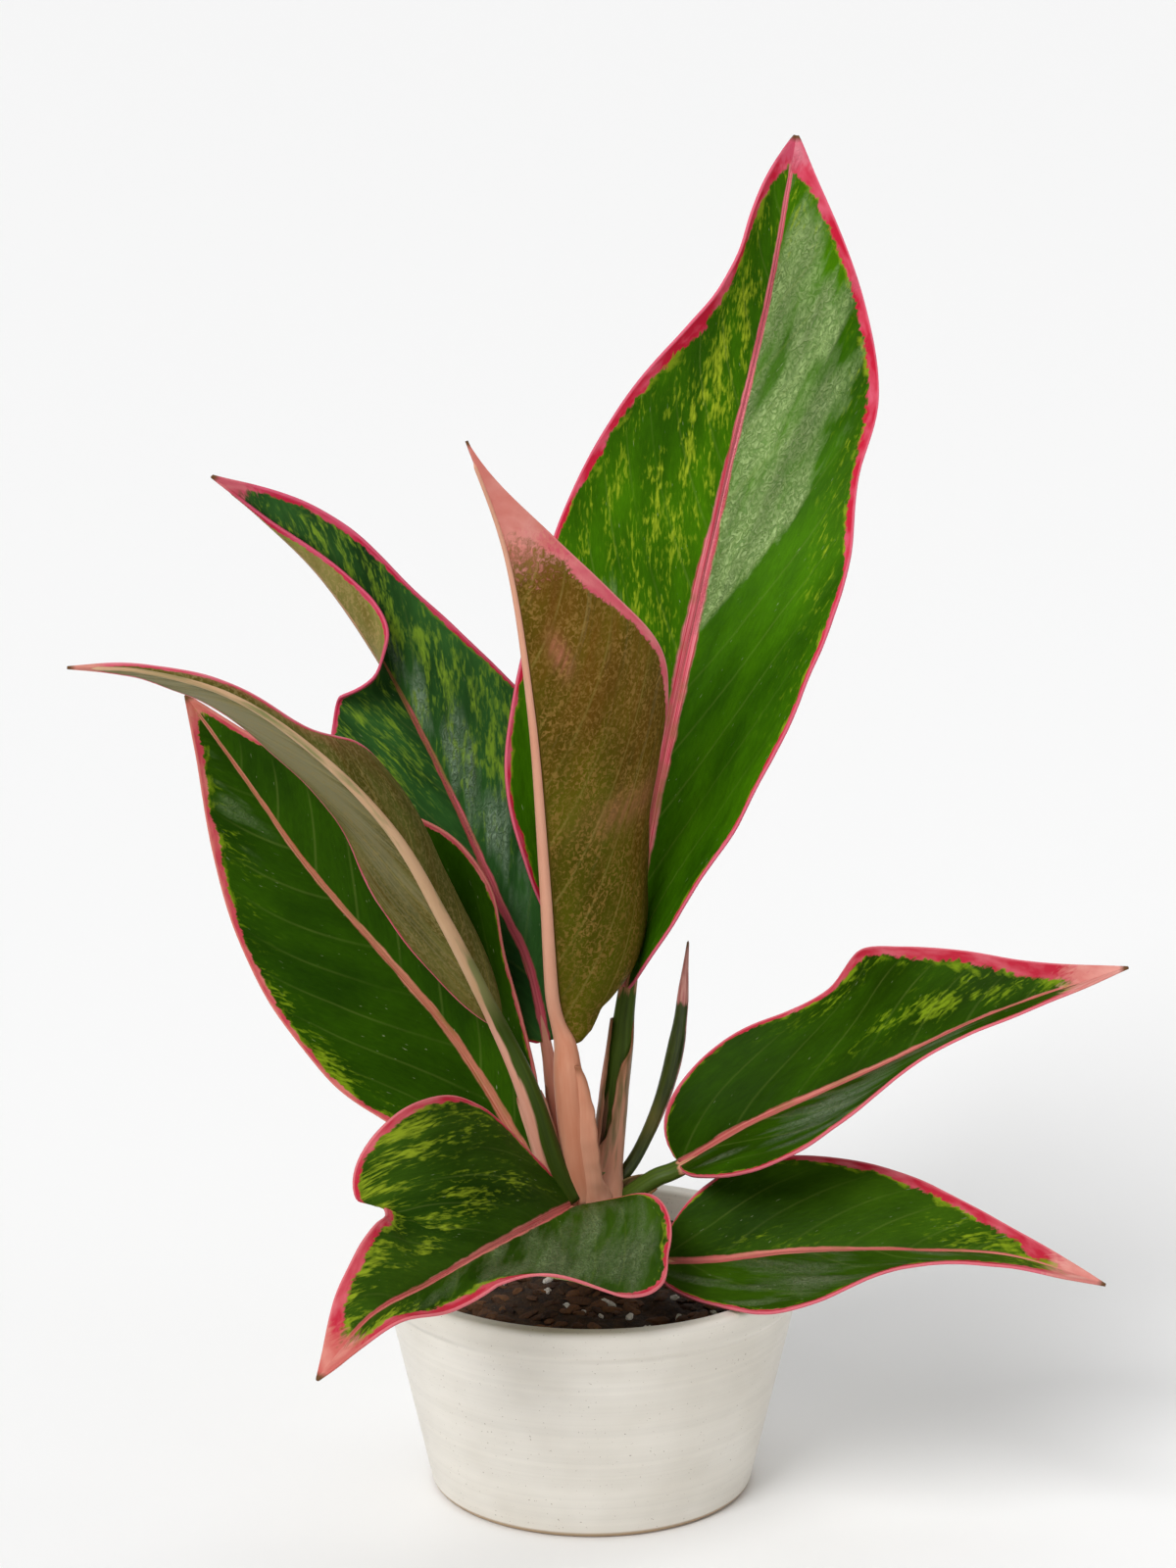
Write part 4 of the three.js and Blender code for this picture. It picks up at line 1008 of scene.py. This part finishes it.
def make_stalk(name, leaf, look, seed):
    """The stalk and the ridge under the rib: a grid wrapped round the leaf's line, channelled on top."""
    points = leaf["stalk"] + leaf["rib"]
    line, length = measured_line(points, len(leaf["stalk"]))
    _, stalk_length = measured_line(points[: len(leaf["stalk"]) + 1])
    rows = STALK_ROWS + RIB_ROWS
    piece, place, y = grid(name, rows, STALK_SIDES)
    row = np.rint(place * rows)
    on_rib = row >= STALK_ROWS
    u = np.clip(row / STALK_ROWS, 0, 1)
    t = np.clip((row - STALK_ROWS) / RIB_ROWS, 0, 1) * RIB_END

    def whole(share):
        return along(points, share)

    stalk_place = u * len(leaf["stalk"]) / (len(points) - 1)
    centre = np.where(on_rib[:, None], line(t), whole(stalk_place))
    ahead = np.where(on_rib[:, None], heading(line, t), heading(whole, stalk_place))
    ridge = ridge_direction(leaf, line, t, ahead)
    beside = np.cross(ahead, ridge)
    stalk_radius = leaf["neck"] + (leaf["sheath"] - leaf["neck"]) * (1 - u ** leaf["swell"])
    stalk_radius += leaf["foot"] * smooth(u, FOOT_START, 1)
    rib_radius = RIB_TIP_RADIUS + (leaf["neck"] - RIB_TIP_RADIUS) * (1 - t) ** RIB_TAPER
    rib_radius += leaf["foot"] * bell(length * t, FOOT_LENGTH)
    radius = np.where(on_rib, rib_radius, stalk_radius)
    # The ridge sinks away from the upper face by this share of its radius, so that it only shows below.
    sink = np.where(on_rib, 0.5 + 0.55 * smooth(t, 0, 0.1), 0.4 + 0.1 * u)
    angle = np.pi * (y + 1)
    # The top of the stalk, away from the ridge, is hollowed along its middle, and both ends are closed.
    hollow = 1 - 0.3 * np.clip(-np.cos(angle), 0, 1) ** 3
    open_row = np.where((row == 0) | (row == rows), 0.0, 1.0)
    wall = around(ridge, beside, angle, radius * hollow * open_row)
    place_points(piece, centre + ridge * (radius * sink)[:, None] + wall)
    run = np.where(on_rib, stalk_length + length * t, stalk_length * u)
    keep_values(piece, "stalk_run", radius * np.cos(angle), radius * np.sin(angle), run)
    green = np.where(on_rib, along(look["rib_green"], t), along(look["stalk_green"], u))
    # The greener side fades out low on the rib, where the ridge takes on the rib's own colour.
    turn, strength = look["green_side"]
    green = green + strength * np.clip(np.cos(angle - math.radians(turn)), 0, 1) * (1 - smooth(t, 0, 0.3))
    keep_values(piece, "stalk_tone", green, 0, 0.4 * on_rib * smooth(t, 0, 0.1))
    close_up(piece)
    give(piece, leaf_stalk("leaf_stalk_" + name, seed, *look["stalk"]))
    return piece


# The sheaths, each an open sleeve round the foot of a stalk. `path` is its middle line, `radius` its size,
# `left` and `right` how far it wraps to each side in degrees from the back of the stalk (without `right`,
# both are `left`), `flare` how far its right margin stands off in mm, `brown` how dry its margins are and
# `green` how green it is.
SHEATH_THICKNESS = 0.5
SHEATH_ROWS_PER_MM = 1.6
SHEATH_COLUMNS = 44
# Its radius grows by this many mm towards the margins, so that they stand off the stalk. The margins are
# ragged by a share of the wrap, and the wall is uneven by a share of the radius.
SHEATH_WIDENING = 0.35
SHEATH_RAGGED = 0.05
SHEATH_UNEVEN = 0.02
SHEATHS = {
    "centre": dict(
        path=[
            [-0.4, -0.8, 68], [-0.9, -3.4, 79], [-2.2, -5.4, 90], [-3.1, -6.3, 100], [-3.7, -6.9, 109],
            [-4.3, -7.6, 118],
        ],
        radius=[7.4, 5.8, 4.5, 4.3, 4.0, 3.6], left=[150, 150, 140, 130, 125, 120, 115, 105, 90],
        right=[150, 150, 135, 110, 105, 105, 105, 100, 85],
        flare=[0, 0.2, 0.8, 1.6, 2.2, 2.4, 1.8, 1.2, 0.8], brown=[0, 0, 0, 0.2, 0.8], green=[0, 0, 0, 0, 0],
    ),
    "tall": dict(
        path=[
            [1.0, 0.4, 68], [2.3, 0.8, 79], [4.2, 2.6, 90], [5.2, 4.2, 99], [6.1, 5.4, 107],
            [7.0, 6.4, 115], [7.8, 7.2, 124],
        ],
        radius=[7.6, 6.6, 4.4, 3.9, 3.6, 3.3, 2.8],
        left=[180, 180, 175, 165, 160, 158, 155, 150, 145, 140, 130],
        right=[180, 185, 200, 252, 205, 172, 165, 163, 150, 95, 80],
        flare=[0, 0.3, 0.6, 0.6, 0.5, 0.4, 0.4, 0.4, 0.3, 0.1, 0], brown=[0, 0, 0, 0.4, 0.5, 0.6, 0.8],
        green=[0, 0, 0.2, 0.4, 0.5, 0.5, 0.6],
    ),
    "curled": dict(
        path=[[-1.5, 0.4, 70], [-4.3, 1.2, 80], [-7.2, 1.9, 90], [-8.9, 2.8, 99], [-9.7, 3.6, 108]],
        radius=[6.6, 4.6, 3.4, 2.7, 1.9], left=[160, 160, 150, 140, 130, 120, 60],
        flare=[0, 0, 0.2, 0.3, 0.4, 0.5, 0.5], brown=[0, 0, 0.1, 0.9], green=[0, 0, 0, 0.1],
    ),
    "arching": dict(
        path=[
            [-1.5, -1.2, 68], [-5.9, -4.4, 79], [-10.5, -6.9, 90], [-13.6, -8.4, 100], [-16.4, -9.8, 110],
        ],
        radius=[7.2, 5.0, 3.9, 3.4, 3.1], left=[150, 140, 130, 125, 120, 110, 70],
        flare=[0, 0, 0, 0.1, 0.2, 0.3, 0.2], brown=[0, 0, 0, 0.5], green=[0.1, 0.2, 0.2, 0.2],
    ),
    "upper": dict(
        path=[[1.0, 0.0, 66], [5.4, -1.0, 75], [10.5, -2.2, 80.5], [15.0, -3.0, 84]],
        radius=[7.0, 4.2, 3.0, 2.4], left=[150, 140, 120, 100, 50], flare=[0, 0.3, 0.8, 1.2, 0.8],
        brown=[0, 0, 0.2, 0.8], green=[0.3, 0.8, 0.9, 0.9],
    ),
    "lower": dict(
        path=[[0.6, -0.6, 61], [4.6, -3.6, 66], [9.5, -9.0, 65.8]], radius=[6.9, 4.0, 2.6],
        left=[150, 130, 110, 60], flare=[0, 0.2, 0.5, 0.4], brown=[0, 0.1, 0.7], green=[0.1, 0.3, 0.4],
    ),
    "broad": dict(
        path=[[-0.8, 0.0, 62], [-4.4, 0.0, 72], [-10.0, -0.9, 80.5]], radius=[7.0, 4.4, 2.5],
        left=[150, 130, 110, 60], flare=[0, 0.2, 0.4, 0.4], brown=[0, 0.1, 0.7], green=[0, 0.1, 0.1],
    ),
}


def make_sheath(name, sheath, leaf, look, seed):
    """A grid bent into the sleeve, with a ragged margin, and then given its thickness."""
    line, length = measured_line(sheath["path"])
    piece, t, across = grid(name, round(length * SHEATH_ROWS_PER_MM), SHEATH_COLUMNS)
    ahead = heading(line, t)
    stalk_line, _ = measured_line(leaf["stalk"] + leaf["rib"], len(leaf["stalk"]))
    ridge = ridge_direction(leaf, stalk_line, 0 * t, ahead)
    beside = np.cross(ahead, ridge)
    # The sideways direction is turned so that a positive angle goes to the right as seen from the front.
    beside = beside * np.where(beside[:, :1] < 0, -1.0, 1.0)
    left, right = (along(sheath.get(side, sheath["left"]), t) for side in ("left", "right"))
    ragged = lumps(length * t / 4, 3 * np.sign(across), seed)
    wrap = np.where(across < 0, left, right) * (1 + SHEATH_RAGGED * ragged)
    angle = np.radians(across * wrap)
    # Only the outer part of each side flares, and the left one half as far.
    open_edge = smooth(np.abs(across), 0.55, 1.0)
    radius = along(sheath["radius"], t) + SHEATH_WIDENING * np.abs(across)
    radius = radius + along(sheath["flare"], t) * open_edge * np.where(across > 0, 1.0, 0.5)
    radius = radius * (1 + SHEATH_UNEVEN * lumps(length * t / 6, angle * 1.3, seed + 3))
    place_points(piece, line(t) + around(ridge, beside, angle, radius))
    # Kept 80 mm further on, so that its pattern isn't the stalk's. The margins and the upper end are dry.
    keep_values(piece, "stalk_run", radius * np.cos(angle), radius * np.sin(angle), length * t + 80)
    dry = along(sheath["brown"], t) * smooth(np.abs(across), 0.8, 1.0)
    dry = np.maximum(dry, smooth(t, 0.93, 1.0) * 0.8)
    keep_values(piece, "stalk_tone", along(sheath["green"], t), dry, 0.25 * (1 - smooth(t, 0.5, 1)))
    if np.sum(read(piece.data.vertex_normals, "vector") * around(ridge, beside, angle, 1.0)) < 0:
        turn_over(piece)
    outside = leaf_stalk("leaf_sheath_" + name, seed, *look["stalk"])
    give(piece, outside, dry_sheath("dry_sheath_" + name, seed))
    thicken(piece, SHEATH_THICKNESS, -1.0)
    return piece


def make_leaf(name, seed):
    """One open leaf: its blade, its stalk and, where it shows, its sheath, joined as one piece."""
    leaf, look = LEAVES[name], {**USUAL_LOOK, **LOOKS[name]}
    parts = [make_blade(name, leaf, look, seed), make_stalk(name + "_stalk", leaf, look, seed)]
    if name in SHEATHS:
        parts.append(make_sheath(name + "_sheath", SHEATHS[name], leaf, look, seed + 30))
    piece = join(parts, name + "_leaf")
    shade_smooth(piece)
    part_of_plant(piece, "leaf", "leaf_" + name)


# The rolled leaf's middle line and its radii from foot to tip, as in the CAD.
ROLLED_LINE = [
    [4, 3, 78], [10, 4.2, 84.5], [14.5, 5, 92.8], [18.6, 5.6, 103.3], [21.4, 5.8, 114], [23.1, 5.5, 125],
    [24, 5.2, 136], [24.9, 5, 146.2],
]
ROLLED_RADII = [2, 1.9, 1.8, 1.85, 2, 2.2, 2.2, 1.7, 1.4, 0.75, 0.25]
# The height of the step at the outer margin, as a share of the radius.
ROLLED_STEP = 0.26
# Where the margin lies at the foot, and how far it turns up to the tip, in radians.
ROLLED_START = 0.6
ROLLED_TURN = 1.1
ROLLED_ROWS = 130
ROLLED_SIDES = 40


def make_rolled_leaf():
    """The youngest leaf, still rolled: its outer margin lies as a step along the spike and turns slowly."""
    line, length = measured_line(ROLLED_LINE)
    piece, t, y = grid("rolled_leaf", ROLLED_ROWS, ROLLED_SIDES)
    row = np.rint(t * ROLLED_ROWS)
    _, front, side = directions(line, t)
    share = (y + 1) / 2
    angle = 2 * np.pi * share + ROLLED_START + ROLLED_TURN * t
    # The margin's step is spread over a few degrees, the skin is a little uneven, and both ends close to a
    # point.
    step = ROLLED_STEP * (smooth(share, 0.03, 0.97) - smooth(share, 0.965, 1.0)) + 0.04 * np.sin(3 * angle)
    radius = along(ROLLED_RADII, t) * (1 - ROLLED_STEP / 2 + step)
    radius *= 1 + 0.03 * lumps(length * t / 5, 3 * np.sin(angle), 2.0)
    radius = np.where((row == 0) | (row == ROLLED_ROWS), 0.0, radius)
    place_points(piece, line(t) + around(front, side, angle, radius))
    keep_values(piece, "stalk_run", radius * np.cos(angle), radius * np.sin(angle), length * t)
    # Pink on its upper quarter and along the margin, dry at the very tip, and pale in a band low down.
    pink = np.maximum(smooth(t, 0.74, 0.8), 0.9 * bell(share - 0.95, 0.035) * smooth(t, 0.2, 0.4))
    keep_values(piece, "stalk_tone", pink, smooth(t, 0.955, 0.99), 0.6 * bell(t - 0.32, 0.07))
    close_up(piece)
    give(piece, rolled_skin())
    shade_smooth(piece)
    part_of_plant(piece, "leaf", "leaf_rolled")


# The cane from its foot to its top. The taper is the top's radius as a share of the foot's.
STEM_FOOT = 28
STEM_TOP = 86
STEM_RADIUS = 6.2
STEM_TAPER = 0.72
STEM_UNEVEN = 0.12
# The rings of old leaves: their spacing, their height, and the groove above each.
RING_STEP = 9
RING_HEIGHT = 0.55
RING_GROOVE = 0.25
# The cane turns from cork to green between these heights.
STEM_GREEN = (50, 66)
STEM_ROWS = 220
STEM_SIDES = 48


def make_stem():
    """A short cane: each old leaf left a raised ring that is thinner on one side."""
    piece, u, y = grid("stem_cane", STEM_ROWS, STEM_SIDES)
    row = np.rint(u * STEM_ROWS)
    angle = np.pi * (y + 1)
    z = STEM_FOOT + (STEM_TOP - STEM_FOOT) * u
    # From one ring to the next, `ring` goes from 0 to 1. The rings are tilted, each to another side.
    ring = ((z - STEM_FOOT) / RING_STEP + 0.08 * np.sin(angle + row * 0.01)) % 1
    scar = RING_HEIGHT * bell(ring - 0.5, 0.07) - RING_GROOVE * bell(ring - 0.64, 0.06)
    radius = STEM_RADIUS * (1 - (1 - STEM_TAPER) * u) + scar * (0.8 + 0.2 * np.sin(angle))
    radius += STEM_UNEVEN * lumps(z / 4, 3 * np.cos(angle), 3 * np.sin(angle))
    radius = np.where((row == 0) | (row == STEM_ROWS), 0.0, radius)
    x, y_place = radius * np.cos(angle), radius * np.sin(angle)
    place_points(piece, np.stack([x, y_place, z], axis=1))
    keep_values(piece, "stalk_run", x, y_place, z)
    keep_values(piece, "stalk_tone", smooth(z, *STEM_GREEN), bell(ring - 0.5, 0.12), 0)
    close_up(piece)
    give(piece, cane_bark())
    shade_smooth(piece)
    part_of_plant(piece, "stem", "stem")


# The pot and what is in it. The sizes are the CAD's.
POT_HEIGHT = 62
POT_BASE_RADIUS = 42
POT_RIM_RADIUS = 56
POT_SLOPE = (POT_RIM_RADIUS - POT_BASE_RADIUS) / POT_HEIGHT
POT_WALL = 3.5
POT_FLOOR = 5
POT_LIP = 1.6
POT_LIP_FOOT = POT_HEIGHT - 9
POT_SIDES = 160
ROUNDING_STEPS = 5
DRAIN_HOLES = 5
DRAIN_RADIUS = 4
DRAIN_RING = 24
DRAIN_SIDES = 40
MIX_LEVEL = 54
MIX_UNEVEN = 1.1
MIX_GAP = 0.35
MIX_ROWS = 110
MIX_SIDES = 150
# The rows of the mix that make its underside and its side.
MIX_SIDE_ROWS = 6
# Crumbs and finer ones: how far apart and how high they are.
CRUMB_SIZE = 2.2
CRUMB_HEIGHT = 0.55
FINE_SIZE = 1.0
FINE_HEIGHT = 0.35
# Points nearer than this to a ring of the pot, in metres, are on it.
ON_RING = 1e-5


def inner_radius(z):
    """The radius of the pot's inside at this height."""
    return POT_BASE_RADIUS - POT_WALL + POT_SLOPE * z


def mix_height(x, y):
    """The height of the mix's top, as in the CAD: low mounds, and 2 mm more round the stem."""
    mounds = np.sin(x * 0.17 + 1) * np.cos(y * 0.21) + 0.5 * np.sin(x * 0.41 + y * 0.33)
    return MIX_LEVEL + MIX_UNEVEN * mounds + 2 * np.exp(-(x * x + y * y) / 400)


def round_ring(piece, radius, height, rounding):
    """Bevels the ring of edges at this radius and height."""
    edit(piece, "DESELECT")
    bpy.ops.mesh.select_mode(type="EDGE")
    bpy.ops.object.mode_set(mode="OBJECT")
    for line in piece.data.edges:
        ends = [piece.data.vertices[i].co for i in line.vertices]
        off = [(math.hypot(co.x, co.y) - radius * MM, co.z - height * MM) for co in ends]
        line.select = all(abs(value) < ON_RING for pair in off for value in pair)
    bpy.ops.object.mode_set(mode="EDIT")
    bevel = {"offset": rounding * MM, "segments": ROUNDING_STEPS, "affect": "EDGES", "clamp_overlap": True}
    bpy.ops.mesh.bevel(**bevel)
    bpy.ops.mesh.select_mode(type="VERT")
    bpy.ops.object.mode_set(mode="OBJECT")


def make_pot():
    """A disc drawn up through the pot's profile, with its corners rounded and the drain holes cut."""
    lip_radius = POT_BASE_RADIUS + POT_SLOPE * POT_LIP_FOOT
    # Radius, height and rounding of each ring: the disc, the foot, the lip's two, the rim's two, the floor.
    profile = [
        (POT_BASE_RADIUS - 4, 0, 0),
        (POT_BASE_RADIUS, 0, 1.6),
        (lip_radius, POT_LIP_FOOT, 0.7),
        (lip_radius + POT_LIP, POT_LIP_FOOT + POT_LIP, 0.7),
        (POT_RIM_RADIUS + POT_LIP, POT_HEIGHT, 1.6),
        (POT_RIM_RADIUS - POT_WALL, POT_HEIGHT, 1.2),
        (inner_radius(POT_FLOOR), POT_FLOOR, 2.5),
    ]
    pick()
    bpy.ops.mesh.primitive_circle_add(vertices=POT_SIDES, radius=profile[0][0] * MM, fill_type="NGON")
    pot = bpy.context.object
    pot.name = "pot_body"
    edit(pot)
    for (last_radius, last_height, _), (radius, height, _) in zip(profile, profile[1:]):
        rise = (0, 0, (height - last_height) * MM)
        grow = radius / last_radius
        bpy.ops.mesh.extrude_region_move(TRANSFORM_OT_translate={"value": rise})
        bpy.ops.transform.resize(value=(grow, grow, 1), center_override=(0, 0, height * MM))
    bpy.ops.object.mode_set(mode="OBJECT")
    for radius, height, rounding in profile[1:]:
        round_ring(pot, radius, height, rounding)
    close_up(pot)
    for k in range(DRAIN_HOLES):
        angle = 2 * math.pi * k / DRAIN_HOLES
        place = (DRAIN_RING * math.cos(angle) * MM, DRAIN_RING * math.sin(angle) * MM, 0)
        # Each drill is long enough to pass right through the floor.
        size = {"radius": DRAIN_RADIUS * MM, "depth": 4 * POT_FLOOR * MM}
        pick()
        bpy.ops.mesh.primitive_cylinder_add(vertices=DRAIN_SIDES, location=place, **size)
        drill = bpy.context.object
        apply_modifier(pot, "BOOLEAN", object=drill, operation="DIFFERENCE", solver="EXACT")
        bpy.data.objects.remove(drill)
    pick(pot)
    bpy.ops.object.shade_smooth_by_angle(angle=math.radians(35))
    give(pot, glazed_stoneware())
    part_of_plant(pot, "pot", "pot")


def make_mix():
    """The potting mix: a crumbly top, and a body that fills the pot under it."""
    piece, share, y = grid("potting_mix_bed", MIX_ROWS, MIX_SIDES)
    bottom = POT_FLOOR + MIX_GAP
    foot = inner_radius(bottom) - MIX_GAP
    top_radius = inner_radius(MIX_LEVEL) - MIX_GAP * 2
    row = np.rint(share * MIX_ROWS)
    angle = np.pi * (y + 1)
    # A third of the first rows goes out along the underside and the others up the side. The rest go in from
    # the wall to the middle.
    low = np.clip(row / MIX_SIDE_ROWS, 0, 1)
    rise = np.clip((low - 1 / 3) * 1.5, 0, 1)
    inward = np.clip((row - MIX_SIDE_ROWS) / (MIX_ROWS - MIX_SIDE_ROWS), 0, 1)
    outward = foot * np.minimum(low * 3, 1) + (top_radius - foot) * rise
    radius = np.where(row <= MIX_SIDE_ROWS, outward, top_radius * (1 - inward))
    x, y_place = radius * np.cos(angle), radius * np.sin(angle)
    crumbs = CRUMB_HEIGHT * lumps(x / CRUMB_SIZE, y_place / CRUMB_SIZE, 3.1)
    crumbs += FINE_HEIGHT * lumps(x / FINE_SIZE, y_place / FINE_SIZE, 8.2)
    top = mix_height(x, y_place) + crumbs * smooth(top_radius - radius, -0.5, 2)
    z = np.where(row < MIX_SIDE_ROWS, bottom + (MIX_LEVEL - bottom) * rise, top)
    place_points(piece, np.stack([x, y_place, z], axis=1))
    close_up(piece)
    give(piece, damp_mix())
    shade_smooth(piece)
    part_of_plant(piece, "potting_mix", "potting_mix")


# Loose bits come in this many shapes, and keep this far in mm from the stem and from the pot's wall.
BIT_MODELS = 5
STEM_CLEARANCE = 9
WALL_CLEARANCE = 4
# Their length and width in radii, how lumpy they are, how far they are tilted to either side in radians, and
# how far their middle lies above the mix, in their least height.
BIT_LENGTH = (0.8, 1.9)
BIT_WIDTH = (0.6, 1.1)
BIT_LUMPS = 0.45
BIT_TILT = 0.35
BIT_RISE = 0.3


def turned(angle, across):
    """A turn by this angle in radians about the z axis, or about y if `across` is 1."""
    c, s = math.cos(angle), math.sin(angle)
    return np.array([[c, 0, s], [0, 1, 0], [-s, 0, c]] if across else [[c, s, 0], [-s, c, 0], [0, 0, 1]])


def scatter(name, count, sizes, flat, seed, material):
    """Loose bits on the potting mix: a faceted bit in a few shapes, copied, turned and set on the surface.
    `sizes` is the range of their radii in mm, and `flat` the range of their heights, in radii."""
    chance = random.Random(seed)
    models = []
    for k in range(BIT_MODELS):
        pick()
        bpy.ops.mesh.primitive_ico_sphere_add(subdivisions=2, radius=1.0)
        model = bpy.context.object
        points = read(model.data.vertices, "co")
        x, y, z = (points * 1.1).T
        lump = 1 + BIT_LUMPS * lumps(x + 9 * k, y, z + seed)
        model.data.vertices.foreach_set("co", (points * lump[:, None]).ravel())
        models.append(model)
    bits = []
    reach = inner_radius(MIX_LEVEL) - WALL_CLEARANCE
    while len(bits) < count:
        angle, far = chance.uniform(0, 2 * math.pi), math.sqrt(chance.random()) * reach
        if far < STEM_CLEARANCE:
            continue
        mesh = chance.choice(models).data.copy()
        size = chance.uniform(*sizes)
        stretch = np.array([chance.uniform(*ends) for ends in (BIT_LENGTH, BIT_WIDTH, flat)]) * size
        turn, tilt = chance.uniform(0, 2 * math.pi), chance.uniform(-BIT_TILT, BIT_TILT)
        points = read(mesh.vertices, "co") * stretch @ turned(tilt, 1) @ turned(turn, 0)
        x, y = far * math.cos(angle), far * math.sin(angle)
        points += np.array([x, y, float(mix_height(x, y)) + BIT_RISE * size * flat[0]])
        mesh.vertices.foreach_set("co", (points * MM).ravel())
        shades = mesh.attributes.new("bit_shade", "FLOAT", "POINT")
        shades.data.foreach_set("value", np.full(len(points), chance.random()))
        bit = bpy.data.objects.new(name, mesh)
        bpy.context.scene.collection.objects.link(bit)
        bits.append(bit)
    for model in models:
        bpy.data.objects.remove(model)
    whole = join(bits, name)
    give(whole, material)
    part_of_plant(whole, "potting_mix")


for number, leaf_name in enumerate(LEAVES):
    make_leaf(leaf_name, number + 1)
make_rolled_leaf()
make_stem()
make_pot()
make_mix()
scatter("bark_chips", count=360, sizes=(0.9, 2.3), flat=(0.3, 0.6), seed=5, material=bark_chip())
scatter("perlite_grains", count=90, sizes=(0.6, 1.3), flat=(0.7, 0.95), seed=11, material=perlite())

# Camera, light and floor, in metres.

CAMERA_PLACE = (-0.001, -1.1591, 0.500)
CAMERA_TARGET = (-0.001, 0.0, 0.1894)
SOFT_BOX_TARGET = (0, 0, 0.18)


def aim(thing, towards):
    """Turns the camera or a light to look in this direction."""
    thing.rotation_euler = Vector(towards).to_track_quat("-Z", "Y").to_euler()


def wide_sun(towards, spread, strength):
    """Even light from far away, soft because its disc is wide."""
    pick()
    bpy.ops.object.light_add(type="SUN", location=(0, 0, 2))
    sun = bpy.context.object
    sun.data.energy = strength
    sun.data.angle = math.radians(spread)
    aim(sun, towards)


pick()
bpy.ops.object.camera_add(location=CAMERA_PLACE)
camera = bpy.context.object
camera.data.lens = 108
camera.data.sensor_width = 36
camera.data.clip_end = 50
aim(camera, Vector(CAMERA_TARGET) - Vector(CAMERA_PLACE))
bpy.context.scene.camera = camera

wide_sun(towards=(0.7, 1.0, -1.15), spread=32, strength=2.2)
wide_sun(towards=(-0.2, -0.35, -1.0), spread=60, strength=0.7)
pick()
bpy.ops.object.light_add(type="AREA", location=(1.5, -1.0, 0.8))
soft_box = bpy.context.object
soft_box.data.shape = "SQUARE"
soft_box.data.size = 1.0
soft_box.data.energy = 3
aim(soft_box, Vector(SOFT_BOX_TARGET) - soft_box.location)

world = bpy.data.worlds.new("studio")
bpy.context.scene.world = world
world.use_nodes = True
world.node_tree.nodes["Background"].inputs["Color"].default_value = colour("#ffffff")
world.node_tree.nodes["Background"].inputs["Strength"].default_value = 0.34

pick()
bpy.ops.mesh.primitive_plane_add(size=24)
floor = bpy.context.object
floor.name = "floor"
give(floor, new_material("white_paper_floor", Base_Color=colour("#f6f6f6"), Roughness=0.9)[0])

bpy.context.scene.view_settings.view_transform = "Standard"
